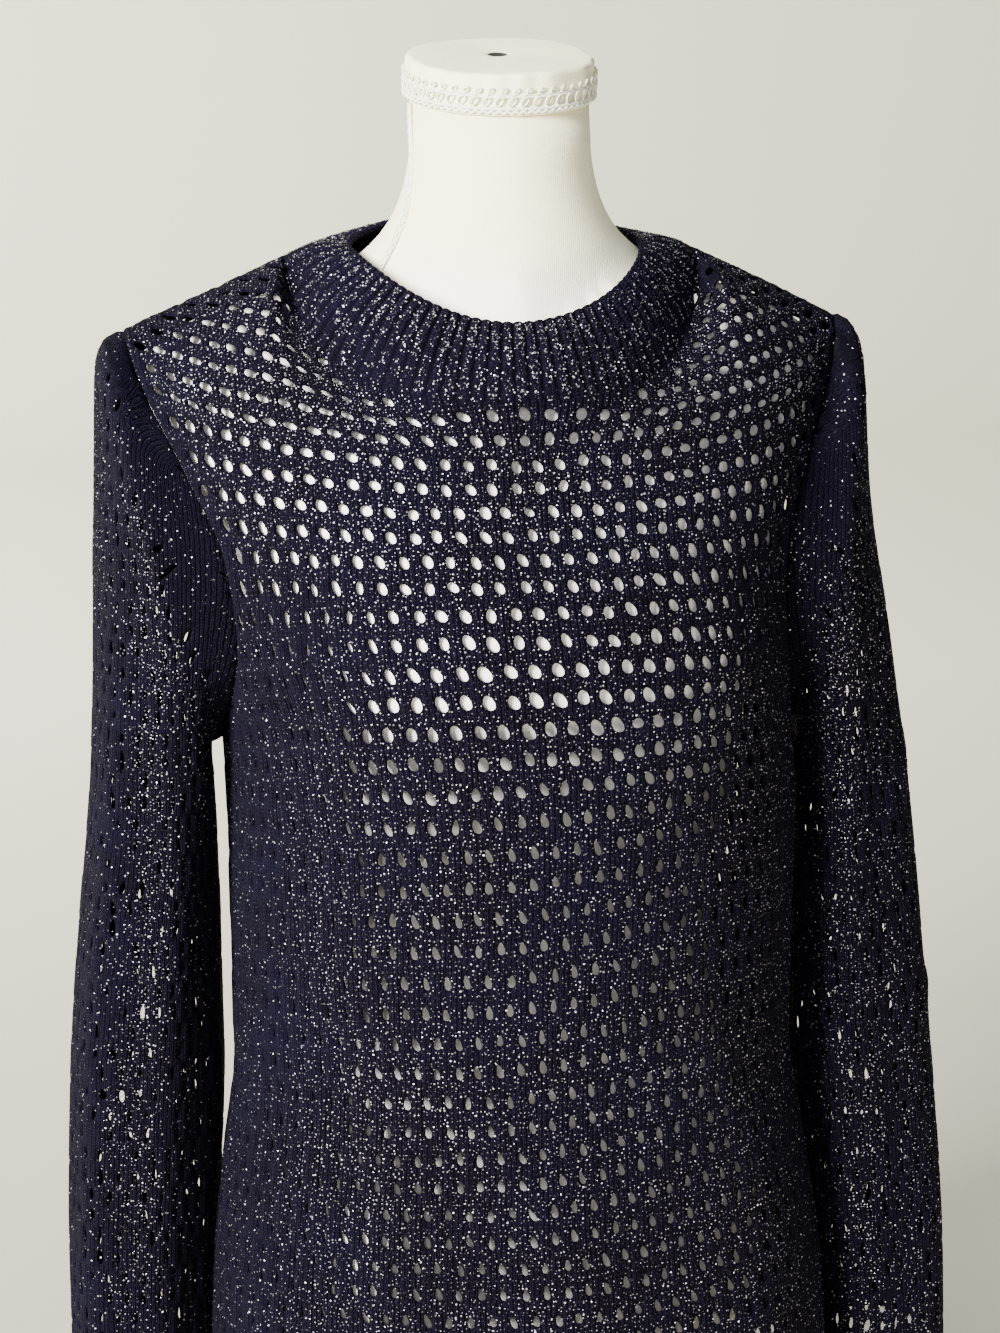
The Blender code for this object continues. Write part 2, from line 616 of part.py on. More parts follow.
def make_band(name, colour):
    """neckband with ribs raised on its outside over a plain inside"""
    count = RIBS * COLUMNS_A_RIB
    phi = np.linspace(0, 2 * math.pi, count, endpoint=False)
    t = np.linspace(0, 1, BAND_ROWS + 1)
    pp, tt = np.meshgrid(phi, t)
    outer = band(pp, tt)
    n = band_normal(pp, tt)
    outer[0] = on_chords(phi, lambda a: band_edge(a, "seam"))
    n[0] = on_chords(phi, seam_normals)
    rise = np.where(np.arange(count) % COLUMNS_A_RIB == 0, 0.0, RIB_RISE)
    outer[0] += unit(outer[1] - outer[0]) * SEAM_GAP * PART_OF_GAP
    inner = outer - n * BAND_WALL
    lift = np.ones_like(tt)
    lift[0] = 0
    outer = outer + n * (rise[None, :, None] * lift[..., None])
    return turn_out(wall_sheet(name, outer, inner, colour, around=True))


def section(z, angle):
    """ring of the form at a height: its halves and squareness come from the table"""
    high = [row[0] for row in FORM_ROWS]
    half, front, back, power = (smooth(high, [row[k] for row in FORM_ROWS], z) for k in (1, 2, 3, 4))
    c = np.cos(angle)
    sn = np.sin(angle)
    x = half * np.sign(sn) * np.abs(sn) ** (2 / power)
    depth = np.where(c > 0, front, back)
    y = -depth * np.sign(c) * np.abs(c) ** (2 / power)
    return x, y


def cloth_insides():
    """points of the panels' and the neckband's insides, less the gap, rising from row to row"""
    uu, vv = np.meshgrid(np.linspace(-1, 1, REACH_COLUMNS), np.linspace(REACH_START, 1, REACH_ROWS))
    pp, tt = np.meshgrid(np.linspace(-math.pi / 2, math.pi / 2, REACH_COLUMNS), np.linspace(0, 1, REACH_ROWS))
    out = {}
    for part, start in (("front", 0.0), ("back", math.pi)):
        panel = body(part, uu, vv)
        collar = band(pp + start, tt)
        rest = CLOTH_REST + SHOULDER_REST * ease(SHOULDER_FROM, SHOULDER_FULL, panel[..., 2:])
        panel = panel - body_normal(part, uu, vv) * (WALL + rest)
        collar = collar - band_normal(pp + start, tt) * (BAND_WALL + CLOTH_REST + SHOULDER_REST)
        out[part] = np.concatenate([panel, collar], 1)
    return out


def cloth_reach(inside, part, z, angle, near):
    """distance from the axis to the cloth's inside at a height, for angles from the centre front:
    near toward the neck, where there is no cloth, and just in from its edge at the armhole"""
    own = np.abs(angle) if part == "front" else math.pi - np.abs(angle)
    to_own = -1.0 if part == "front" else 1.0
    out = near.copy()
    grid = inside[part]
    for side in (-1, 1):
        cols = [k for k in range(grid.shape[1]) if side * grid[0, k, 0] >= -NORMAL_STEP
                and grid[0, k, 2] < z < grid[-1, k, 2]]
        if len(cols) < 2:
            continue
        x = np.array([np.interp(z, grid[:, k, 2], grid[:, k, 0]) for k in cols])
        y = np.array([np.interp(z, grid[:, k, 2], grid[:, k, 1]) for k in cols])
        turned = np.arctan2(side * x, to_own * y)
        order = np.argsort(turned)
        reach = np.interp(own, turned[order], np.hypot(x, y)[order])
        past = ease(ARM_PLATE_FROM, ARM_PLATE_FULL, z) * (own > turned.max())
        reach = np.where(own > turned.max(), near + (reach - ARM_PLATE_IN - near) * past, reach)
        out = np.where((own >= turned.min()) & (side * angle >= 0), reach, out)
    return out


def form_limit(inside, z, angle):
    """largest radius of the form at a height: its own, swollen to the cloth where it can be"""
    x, y = section(z, angle)
    turned = np.arctan2(x, -y)
    order = np.argsort(turned)
    plain = np.interp(angle, turned[order], np.hypot(x, y)[order], period=2 * math.pi)
    swell = FORM_SWELL * ease(SWELL_FROM, SWELL_FULL, z) * (1 - ease(SWELL_LAST, SWELL_TOP, z))
    near = np.where(np.abs(angle) < math.pi / 2, cloth_reach(inside, "front", z, angle, plain),
                    cloth_reach(inside, "back", z, angle, plain))
    return np.minimum(near, plain + swell)


def form_radii(heights, angle):
    """radii of the form's rings, kept under the limit between the rings and columns as well"""
    inside = cloth_insides()
    fine_z = np.interp(np.arange((len(heights) - 1) * FIT_PARTS + 1) / FIT_PARTS,
                       np.arange(len(heights)), heights)
    fine_angle = np.linspace(-math.pi, math.pi, len(angle) * FIT_PARTS, endpoint=False)
    limit = np.array([form_limit(inside, z, fine_angle) for z in fine_z])
    radius = limit[::FIT_PARTS, ::FIT_PARTS]
    for _ in range(SMOOTH_TURNS):
        even = (np.roll(radius, 1, 1) + 2 * radius + np.roll(radius, -1, 1)) / 4
        radius = np.minimum(radius, even)
    over = np.zeros_like(radius)
    for row in range(len(heights) - 1):
        for part in range(FIT_PARTS + 1):
            t = part / FIT_PARTS
            ring = radius[row] * (1 - t) + radius[row + 1] * t
            wide = np.interp(fine_angle, angle, ring, period=2 * math.pi)
            past = np.maximum(wide - limit[row * FIT_PARTS + part], 0).reshape(len(angle), FIT_PARTS)
            worst = past.max(1)
            worst = np.maximum(worst, np.roll(worst, 1))
            over[row] = np.maximum(over[row], worst)
            over[row + 1] = np.maximum(over[row + 1], worst)
    return radius - over


def closed_tube(name, rings, colour, roughness=0.8, metallic=0.0):
    """closed body through rings of equal counts, its ends closed flat"""
    count = len(rings[0])
    verts = np.concatenate(rings)
    faces = []
    for r in range(len(rings) - 1):
        for c in range(count):
            d = (c + 1) % count
            faces.append((r * count + c, r * count + d, (r + 1) * count + d, (r + 1) * count + c))
    faces.append(tuple(range(count - 1, -1, -1)))
    faces.append(tuple(range((len(rings) - 1) * count, len(rings) * count)))
    return turn_out(add_mesh(name, verts, faces, colour, roughness, metallic))


def make_form(name, colour):
    """form from the pole to under the cap, its middle rows close enough to follow the cloth"""
    angle = np.linspace(-math.pi, math.pi, FORM_AROUND, endpoint=False)
    high = [row[0] for row in FORM_ROWS]
    chest = np.arange(SWELL_FROM, SWELL_TOP, SWELL_STEP)
    low = [z for z in high if z < SWELL_FROM]
    neck = [z for z in high if z > SWELL_TOP]
    heights = np.array([*low, *chest, *neck])
    rings = [np.stack([r * np.sin(angle), -r * np.cos(angle), np.full_like(angle, z)], -1)
             for r, z in zip(form_radii(heights, angle), heights)]
    top = disc_rings([(NECK_TOP_RADIUS, CAP_BASE_Z - SEAM_GAP)], FORM_AROUND, CAP_TILT, CAP_TOP_Z)
    rings.append(np.roll(top[0], FORM_AROUND // 2, axis=0))
    return closed_tube(name, rings, colour)


def disc_rings(profile, sides, tilt=0.0, pivot_z=0.0):
    """rings of a turned profile of radius and height, tipped forward about a height"""
    angle = np.linspace(0, 2 * math.pi, sides, endpoint=False)
    rings = []
    for radius, z in profile:
        x = radius * np.sin(angle)
        y = -radius * np.cos(angle)
        h = np.full_like(angle, z - pivot_z)
        y_new = y * math.cos(tilt) - h * math.sin(tilt)
        z_new = y * math.sin(tilt) + h * math.cos(tilt) + pivot_z
        rings.append(np.stack([x, y_new, z_new], -1))
    return rings


for old in list(bpy.data.objects):
    bpy.data.objects.remove(old, do_unlink=True)

CLOTH_COLOUR = (0.014, 0.015, 0.032)
FORM_COLOUR = (0.80, 0.78, 0.70)
WOOD_COLOUR = (0.30, 0.20, 0.12)

make_panel("sweater_front", "front", CLOTH_COLOUR)
make_panel("sweater_back", "back", CLOTH_COLOUR)
make_sleeve("sleeve_left", 1, CLOTH_COLOUR)
make_sleeve("sleeve_right", -1, CLOTH_COLOUR)
make_band("neckband", CLOTH_COLOUR)
make_form("form_torso", FORM_COLOUR)
cap = [(CAP_RADIUS - CAP_FOOT, CAP_BASE_Z), (CAP_RADIUS, CAP_BASE_Z + CAP_FOOT_HEIGHT),
       (CAP_RADIUS, CAP_TOP_Z - CAP_EDGE), (CAP_RADIUS - CAP_EDGE, CAP_TOP_Z)]
closed_tube("form_cap", disc_rings(cap, ROUND_SIDES, CAP_TILT, CAP_TOP_Z), FORM_COLOUR)
pole = [(POLE_RADIUS, BASE_HEIGHT + SEAM_GAP), (POLE_RADIUS, FORM_ROWS[0][0] - SEAM_GAP)]
closed_tube("stand_pole", disc_rings(pole, ROUND_SIDES), WOOD_COLOUR, 0.5)
base = [(BASE_RADIUS, 0.0), (BASE_RADIUS, BASE_HEIGHT - BASE_EDGE), (BASE_RADIUS - BASE_EDGE, BASE_HEIGHT)]
closed_tube("stand_base", disc_rings(base, ROUND_SIDES), WOOD_COLOUR, 0.5)
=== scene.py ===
import bpy
import math
import numpy as np
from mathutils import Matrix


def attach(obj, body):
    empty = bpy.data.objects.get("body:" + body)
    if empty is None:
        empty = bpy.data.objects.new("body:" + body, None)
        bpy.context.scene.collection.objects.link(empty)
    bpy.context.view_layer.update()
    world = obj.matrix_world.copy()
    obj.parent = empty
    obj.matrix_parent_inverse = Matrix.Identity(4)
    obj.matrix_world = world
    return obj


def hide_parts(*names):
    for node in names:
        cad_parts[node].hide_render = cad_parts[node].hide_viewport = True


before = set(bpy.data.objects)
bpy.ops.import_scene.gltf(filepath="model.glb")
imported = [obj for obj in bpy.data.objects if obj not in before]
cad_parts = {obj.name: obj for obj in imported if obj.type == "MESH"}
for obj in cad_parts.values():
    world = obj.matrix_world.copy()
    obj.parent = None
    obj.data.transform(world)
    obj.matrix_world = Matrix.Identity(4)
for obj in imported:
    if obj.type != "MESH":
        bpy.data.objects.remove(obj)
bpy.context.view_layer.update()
print("frame loaded")

# camera, at the height of the neckline and a little to the garment's right
cameraLook = dict(turn=-10.0, away=2.0, height=1.084, down=13.784, lens=95.77, sensor=36.0)
cameraData = bpy.data.cameras.new("camera")
cameraData.sensor_fit = "VERTICAL"
cameraData.sensor_height = cameraLook["sensor"]
cameraData.lens = cameraLook["lens"]
camera = bpy.data.objects.new("camera", cameraData)
turn = math.radians(cameraLook["turn"])
camera.location = (math.sin(turn) * cameraLook["away"], -math.cos(turn) * cameraLook["away"],
                   cameraLook["height"])
camera.rotation_euler = (math.radians(90 - cameraLook["down"]), 0, turn)
bpy.context.scene.collection.objects.link(camera)
bpy.context.scene.camera = camera

# garment rows from hem to yoke, as in the solids
rowNames = ("v", "zMid", "zSide", "xSide", "yMid", "ySide", "turn")
frontRows = (
    (0.000, 0.145, 0.145, 0.1890, -0.1180, 0.004, 90),
    (0.105, 0.215, 0.215, 0.1860, -0.1175, 0.004, 90),
    (0.220, 0.290, 0.290, 0.1770, -0.1180, 0.004, 90),
    (0.340, 0.370, 0.370, 0.1660, -0.1205, 0.005, 90),
    (0.460, 0.450, 0.445, 0.1665, -0.1260, 0.006, 90),
    (0.570, 0.525, 0.512, 0.1670, -0.1330, 0.007, 90),
    (0.645, 0.582, 0.557, 0.1665, -0.1385, 0.008, 90),
    (0.700, 0.618, 0.590, 0.1620, -0.1400, -0.026, 80),
    (0.750, 0.650, 0.630, 0.1580, -0.1380, -0.046, 68),
    (0.800, 0.681, 0.673, 0.1610, -0.1335, -0.053, 62),
    (0.855, 0.711, 0.715, 0.1750, -0.1270, -0.043, 58),
    (0.915, 0.740, 0.760, 0.1950, -0.1205, -0.018, 54),
)
backRows = (
    (0.000, 0.145, 0.145, 0.1890, 0.1020, 0.004, 90),
    (0.105, 0.215, 0.215, 0.1860, 0.1020, 0.004, 90),
    (0.220, 0.290, 0.290, 0.1770, 0.0985, 0.004, 90),
    (0.340, 0.370, 0.370, 0.1660, 0.0900, 0.005, 90),
    (0.460, 0.450, 0.445, 0.1665, 0.0860, 0.006, 90),
    (0.570, 0.528, 0.512, 0.1670, 0.0930, 0.007, 90),
    (0.645, 0.590, 0.557, 0.1665, 0.1020, 0.008, 90),
    (0.700, 0.632, 0.590, 0.1650, 0.1065, 0.042, 80),
    (0.750, 0.672, 0.630, 0.1655, 0.1090, 0.062, 68),
    (0.800, 0.712, 0.673, 0.1700, 0.1095, 0.069, 62),
    (0.855, 0.752, 0.715, 0.1805, 0.1070, 0.064, 58),
    (0.915, 0.788, 0.760, 0.1970, 0.1000, 0.044, 54),
)
bodyCut = dict(armpitV=0.645, armpitZ=0.557, yokeV=0.915, neckTipU=0.60,
               shoulderTip=(0.205, 0.012, 0.793), neckTip=(0.1180, 0.010, 0.8330),
               frontNeck=(-0.1150, 0.7680), backNeck=(0.0870, 0.8270),
               necklinePower=dict(front=1.5, back=1.6), clothWide=0.25, clothLong=0.69,
               yokeStep=0.01)
# how the cloth turns into the top edge: out to the back, up, across, and past the neck tip
topLook = dict(out=0.42, outMore=0.45, rise=dict(front=0.95, back=0.90), tipRise=0.14, dip=0.08,
               pull=0.20, past=0.4)
bodyLean = (
    (0.145, 0.0140), (0.200, 0.0130), (0.300, 0.0100), (0.390, 0.0085), (0.500, 0.0085),
    (0.600, 0.0030), (0.700, -0.0055), (0.790, -0.0080), (0.820, -0.0040), (0.900, -0.0035),
)
sleeveLean = (
    (0.145, 0.0140), (0.200, 0.0130), (0.300, 0.0100), (0.390, 0.0075), (0.500, 0.0060),
    (0.600, 0.0010), (0.700, -0.0060), (0.790, -0.0080), (0.900, -0.0035),
)
# flutes fade in below their top over a length and by a power, creases at each end over widths
foldLook = dict(fade=0.22, power=1.5, startIn=1.5, endIn=2.5)
# soft flutes of the lower body: place, height of the top, depth, width in u
frontFolds = ((-0.62, 0.40, 0.0040, 0.10), (0.02, 0.44, 0.0050, 0.12), (0.46, 0.36, 0.0045, 0.11))
backFolds = ((-0.45, 0.36, 0.0045, 0.12), (0.08, 0.42, 0.0040, 0.12), (0.55, 0.38, 0.0040, 0.10))
# lengthwise folds of the sleeves: side, degrees round from the outer line, rise, width in degrees
sleeveFolds = (
    (-1, 44, 0.0045, 17), (-1, 78, -0.0030, 16), (-1, 128, -0.0055, 26), (-1, 250, 0.0035, 22),
    (1, 40, 0.0035, 20), (1, 75, -0.0030, 18), (1, 112, 0.0030, 18), (1, 262, -0.0040, 26),
)
# creases of the panels: part, start u and v, end u and v, rise, width in metres
creases = (
    ("front", -1.00, 0.655, -0.62, 0.735, 0.0022, 0.010),
    ("front", -0.98, 0.610, -0.55, 0.660, -0.0020, 0.009),
    ("front", -0.96, 0.560, -0.60, 0.590, 0.0016, 0.008),
    ("front", 1.00, 0.665, 0.66, 0.745, 0.0020, 0.010),
    ("front", 0.98, 0.615, 0.58, 0.655, -0.0018, 0.010),
    ("front", 0.92, 0.545, 0.64, 0.560, 0.0014, 0.008),
    ("front", -0.18, 0.360, 0.20, 0.050, 0.0022, 0.016),
    ("front", -0.52, 0.420, -0.40, 0.080, -0.0024, 0.014),
    ("front", 0.34, 0.440, 0.62, 0.120, 0.0020, 0.015),
    ("front", 0.78, 0.380, 0.84, 0.060, -0.0020, 0.012),
    ("back", -1.00, 0.670, -0.60, 0.740, 0.0020, 0.011),
    ("back", -0.95, 0.600, -0.58, 0.625, -0.0018, 0.010),
    ("back", 1.00, 0.660, 0.64, 0.725, 0.0022, 0.010),
    ("back", 0.94, 0.590, 0.55, 0.640, -0.0016, 0.009),
    ("back", -0.20, 0.420, -0.34, 0.070, 0.0020, 0.016),
    ("back", 0.26, 0.380, 0.30, 0.050, -0.0020, 0.014),
)
# creases of the sleeves: side, start angle and s, end angle and s, rise, width in metres
sleeveCreases = (
    (-1, 20, 0.44, 75, 0.50, 0.0016, 0.008), (-1, 35, 0.53, 95, 0.56, -0.0018, 0.008),
    (-1, 15, 0.66, 60, 0.63, 0.0014, 0.009), (-1, 200, 0.46, 260, 0.52, 0.0018, 0.010),
    (1, 25, 0.40, 80, 0.47, 0.0016, 0.008), (1, 45, 0.52, 100, 0.54, -0.0016, 0.008),
    (1, 15, 0.61, 70, 0.66, 0.0015, 0.009), (1, 210, 0.48, 265, 0.45, -0.0016, 0.010),
)
ringNames = ("s", "xOut", "zOut", "xIn", "zIn", "yMid", "yHalf")
sleeveRings = (
    (0.035, 0.2150, 0.7890, 0.1690, 0.5510, 0.010, 0.0625),
    (0.070, 0.2195, 0.7780, 0.1710, 0.5430, 0.011, 0.0630),
    (0.120, 0.2215, 0.7520, 0.1720, 0.5320, 0.013, 0.0620),
    (0.190, 0.2240, 0.7070, 0.1715, 0.5150, 0.016, 0.0605),
    (0.290, 0.2310, 0.6350, 0.1708, 0.4860, 0.020, 0.0590),
    (0.410, 0.2400, 0.5450, 0.1700, 0.4400, 0.024, 0.0575),
    (0.550, 0.2525, 0.4400, 0.1700, 0.3750, 0.028, 0.0560),
    (0.700, 0.2630, 0.3300, 0.1740, 0.2960, 0.030, 0.0545),
    (0.850, 0.2690, 0.2300, 0.1800, 0.2180, 0.030, 0.0530),
    (1.000, 0.2710, 0.1400, 0.1850, 0.1400, 0.030, 0.0510),
)
sleeveCut = dict(foldStart=0.12, foldFull=0.45, underarmReach=0.10, underarmBulge=0.0050,
                 clear=0.0030, clearRound=0.0020, clearFade=0.03, clothWide=0.05, clothLong=0.62)
bandCut = dict(bulge=0.0035, innerHalf=0.0825, innerFront=(-0.0890, 0.8065),
               innerSide=(-0.0060, 0.8395), innerBack=(0.0660, 0.8510), innerPower=1.8,
               away=(0.35, -0.55, 0.75))
# small steps for normals, how near the edges they are taken, and the core lines behind them
normalLook = dict(step=0.0015, low=0.0016, high=0.9985, top=0.9984)
coreLook = dict(bodyDown=0.02, bodyTop=0.74, sleeveX=0.205, sleeveY=0.018, sleeveTop=0.70, bandZ=0.70)
tiny = 1e-12


# one named column of a table
def columnOf(rows, names, name):
    return np.array([row[names.index(name)] for row in rows], float)


# shares of a cubic's start, end, way in and way out at a place between 0 and 1
def cubicShares(t):
    return 2 * t ** 3 - 3 * t ** 2 + 1, 3 * t ** 2 - 2 * t ** 3, t ** 3 - 2 * t ** 2 + t, t ** 3 - t ** 2


# cubic through a table's points that stays between its neighbours
def smoothTable(x, y, at):
    x = np.asarray(x, float)
    y = np.asarray(y, float)
    at = np.clip(np.asarray(at, float), x[0], x[-1])
    step = np.diff(x)
    rise = np.diff(y) / step
    slope = np.empty(len(x))
    both = rise[:-1] * rise[1:]
    total = rise[:-1] + rise[1:]
    slope[1:-1] = np.where(both > 0, 2 * both / np.where(total == 0, 1, total), 0)
    slope[0] = rise[0]
    slope[-1] = rise[-1]
    i = np.clip(np.searchsorted(x, at, side="right") - 1, 0, len(x) - 2)
    start, end, wayIn, wayOut = cubicShares((at - x[i]) / step[i])
    return (y[i] * start + y[i + 1] * end) + step[i] * (slope[i] * wayIn + slope[i + 1] * wayOut)


# one named column of a table at values of another one
def tableAt(rows, names, key, name, at):
    return smoothTable(columnOf(rows, names, key), columnOf(rows, names, name), at)


# sideways shift at a height
def leanAt(rows, z):
    return smoothTable([row[0] for row in rows], [row[1] for row in rows], z)


# vectors scaled to length one
def unitOf(v):
    return v / np.maximum(np.linalg.norm(v, axis=-1, keepdims=True), tiny)


# smooth step from 0 at low to 1 at high
def easeStep(low, high, x):
    t = np.clip((x - low) / (high - low), 0, 1)
    return t * t * (3 - 2 * t)


# body row: sine across and cosine back through the row's turn, square of u in height
def rowPoint(rows, u, v):
    col = {name: tableAt(rows, rowNames, "v", name, v) for name in rowNames[1:]}
    turned = np.radians(col["turn"])
    x = col["xSide"] * np.sin(turned * u) / np.sin(turned)
    back = (1 - np.cos(turned * u)) / (1 - np.cos(turned))
    y = col["yMid"] + (col["ySide"] - col["yMid"]) * back
    z = col["zMid"] + (col["zSide"] - col["zMid"]) * u ** 2
    return np.stack([x, y, z], -1)


# neckline seam: an ellipse in plan that rises from the centre by a power of its cosine
def neckLine(part, phi):
    mid = bodyCut["frontNeck"] if part == "front" else bodyCut["backNeck"]
    tip = bodyCut["neckTip"]
    power = bodyCut["necklinePower"][part]
    x = tip[0] * np.sin(phi)
    y = tip[1] + (mid[0] - tip[1]) * np.cos(phi)
    z = mid[1] + (tip[2] - mid[1]) * (1 - np.abs(np.cos(phi))) ** power
    return np.stack([x, y, z], -1)


# top of a panel: neckline up to the neck tip, then a straight shoulder seam
def topEdge(part, u):
    a = np.abs(u)
    tipU = bodyCut["neckTipU"]
    phi = np.minimum(a / tipU, 1) * math.pi / 2
    neck = neckLine(part, phi)
    t = np.clip((a - tipU) / (1 - tipU), 0, 1)[..., None]
    tip = neckLine(part, np.full_like(phi, math.pi / 2))
    seam = tip + (np.array(bodyCut["shoulderTip"]) - tip) * t
    point = np.where((a <= tipU)[..., None], neck, seam)
    return point * np.stack([np.where(u < 0, -1.0, 1.0), np.ones_like(u), np.ones_like(u)], -1)


# direction of the cloth as it reaches the top edge: a square of u up to the neck tip, then past it
def topWay(part, u):
    a = np.abs(u)
    tipU = bodyCut["neckTipU"]
    toBack = 1.0 if part == "front" else -1.0
    t = np.clip(a / tipU, 0, 1) ** 2
    past = np.clip((a - tipU) / (topLook["past"] * (1 - tipU)), 0, 1)
    x = -topLook["pull"] * t * np.sign(u) * (1 - past)
    y = toBack * (topLook["out"] + topLook["outMore"] * t)
    z = topLook["rise"][part] * (1 - t) + topLook["tipRise"] * t - topLook["dip"] * past
    return unitOf(np.stack([x, y, z], -1))


# creases: a bell across each line, fading to nothing at both of its ends
def creaseRise(rows, x, y, wideScale, longScale):
    rise = 0.0
    for x0, y0, x1, y1, tall, wide in rows:
        runX, runY = (x1 - x0) * wideScale, (y1 - y0) * longScale
        length = math.hypot(runX, runY)
        ax, ay = (x - x0) * wideScale, (y - y0) * longScale
        along = (ax * runX + ay * runY) / length
        off = (ax * runY - ay * runX) / length
        ends = (easeStep(-wide, foldLook["startIn"] * wide, along)
                * (1 - easeStep(length - foldLook["endIn"] * wide, length + wide, along)))
        rise = rise + tall * ends * np.exp(-(off / wide) ** 2)
    return rise


# panel surface: rows up to the yoke, then a cubic to the top edge, flutes and the lean
def bodyPoint(part, u, v):
    u, v = np.broadcast_arrays(np.asarray(u, float), np.asarray(v, float))
    rows = frontRows if part == "front" else backRows
    yoke = bodyCut["yokeV"]
    below = rowPoint(rows, u, np.minimum(v, yoke))
    start = rowPoint(rows, u, np.full_like(u, yoke))
    earlier = rowPoint(rows, u, np.full_like(u, yoke - bodyCut["yokeStep"]))
    end = topEdge(part, u)
    reach = np.linalg.norm(end - start, axis=-1, keepdims=True)
    wayIn = unitOf(start - earlier) * reach
    wayOut = topWay(part, u) * reach
    shares = cubicShares(np.clip((v - yoke) / (1 - yoke), 0, 1)[..., None])
    above = start * shares[0] + end * shares[1] + wayIn * shares[2] + wayOut * shares[3]
    p = np.where((v <= yoke)[..., None], below, above)
    out = 0.0
    for place, top, depth, wide in (frontFolds if part == "front" else backFolds):
        fade = np.clip((top - p[..., 2]) / foldLook["fade"], 0, 1)
        out = out + depth * fade ** foldLook["power"] * np.exp(-((u - place) / wide) ** 2)
    out = out + creaseRise([row[1:] for row in creases if row[0] == part], u, v,
                           bodyCut["clothWide"], bodyCut["clothLong"])
    p[..., 1] += out * (-1 if part == "front" else 1)
    p[..., 0] += leanAt(bodyLean, p[..., 2])
    return p


# unit normal from small steps both ways, turned away from a core line
def stepNormal(surface, u, v, coreOf):
    h = normalLook["step"]
    du = surface(u + h, v) - surface(u - h, v)
    dv = surface(u, v + h) - surface(u, v - h)
    n = unitOf(np.cross(du, dv))
    p = surface(u, v)
    side = np.sign((n * (p - coreOf(p))).sum(-1, keepdims=True))
    return n * np.where(side == 0, 1, side)


# core line of the body for its normals
def bodyCore(p):
    core = np.zeros_like(p)
    core[..., 0] = leanAt(bodyLean, p[..., 2])
    core[..., 2] = np.minimum(p[..., 2] - coreLook["bodyDown"], coreLook["bodyTop"])
    return core


# body normals, a hair inside the edges
def bodyNormal(part, u, v):
    return stepNormal(lambda a, b: bodyPoint(part, a, b),
                      np.clip(u, -normalLook["high"], normalLook["high"]),
                      np.clip(v, normalLook["low"], normalLook["high"]), bodyCore)


# armhole seam at an angle from the shoulder tip, forward first
def armholePoint(side, angle):
    a = np.mod(angle, 2 * math.pi)
    front = a <= math.pi
    partTurn = np.where(front, a, 2 * math.pi - a)
    v = 1.0 + (bodyCut["armpitV"] - 1.0) * partTurn / math.pi
    u = np.full_like(v, float(side))
    return np.where(front[..., None], bodyPoint("front", u, v), bodyPoint("back", u, v))


# half width of the body below the armpit at a depth and height, an ellipse in plan
def bodySide(y, z):
    zLow = np.minimum(z, bodyCut["armpitZ"])
    half, sideY, frontY = (tableAt(frontRows, rowNames, "zSide", name, zLow)
                           for name in ("xSide", "ySide", "yMid"))
    backY = tableAt(backRows, rowNames, "zSide", "yMid", zLow)
    deep = np.where(y < sideY, sideY - frontY, backY - sideY)
    return half * np.sqrt(np.clip(1 - ((y - sideY) / deep) ** 2, 0, 1))


# angle past a direction in degrees, between minus and plus half a turn
def angleOff(angle, degrees):
    return np.mod(angle - math.radians(degrees) + math.pi, 2 * math.pi) - math.pi


# sleeve: an oval ring between its outer and inner points, joined to the armhole near the top
def sleevePoint(side, angle, s):
    angle, s = np.broadcast_arrays(np.asarray(angle, float), np.asarray(s, float))
    first = sleeveRings[0][0]
    at = np.maximum(s, first)
    col = {name: tableAt(sleeveRings, ringNames, "s", name, at) for name in ringNames[1:]}
    blend = 0.5 + 0.5 * np.cos(angle)
    x = col["xIn"] + (col["xOut"] - col["xIn"]) * blend
    z = col["zIn"] + (col["zOut"] - col["zIn"]) * blend
    y = col["yMid"] - col["yHalf"] * np.sin(angle)
    rise = np.zeros_like(angle)
    for own, degrees, tall, wide in sleeveFolds:
        rise = rise + (own == side) * tall * np.exp(-(angleOff(angle, degrees) / math.radians(wide)) ** 2)
    rise = rise * easeStep(sleeveCut["foldStart"], sleeveCut["foldFull"], at)
    own = [(math.radians(row[1]), row[2], math.radians(row[3]), *row[4:]) for row in sleeveCreases
           if row[0] == side]
    rise = rise + creaseRise(own, np.mod(angle, 2 * math.pi), at,
                              sleeveCut["clothWide"], sleeveCut["clothLong"])
    x = x + rise * np.cos(angle)
    y = y - rise * np.sin(angle)
    gap = sleeveCut["clear"] * np.clip((bodyCut["armpitZ"] - z) / sleeveCut["clearFade"], 0, 1)
    shift = (leanAt(bodyLean, z) - leanAt(sleeveLean, z)) * side
    least = np.where(z < bodyCut["armpitZ"], bodySide(y, z) + gap + shift, 0)
    x = (x + least + np.sqrt((x - least) ** 2 + sleeveCut["clearRound"] ** 2)) / 2
    x = x * side + leanAt(sleeveLean, z)
    ring = np.stack([x, y, z], -1)
    hole = armholePoint(side, angle)
    reach = first + (sleeveCut["underarmReach"] - first) * (1 - blend)
    t = np.clip(s / reach, 0, 1)[..., None]
    p = hole * (1 - t) + ring * t
    p[..., 0] += side * sleeveCut["underarmBulge"] * (4 * t * (1 - t))[..., 0] * (1 - blend)
    return p


# sleeve normals, out of a line down the middle of the sleeve
def sleeveNormal(side, angle, s):
    def core(p):
        c = p.copy()
        c[..., 0] = side * coreLook["sleeveX"] + leanAt(sleeveLean, p[..., 2])
        c[..., 1] = coreLook["sleeveY"]
        c[..., 2] = np.minimum(p[..., 2], coreLook["sleeveTop"])
        return c
    return stepNormal(lambda a, b: sleevePoint(side, a, b), angle,
                      np.clip(s, normalLook["low"], normalLook["top"]), core)


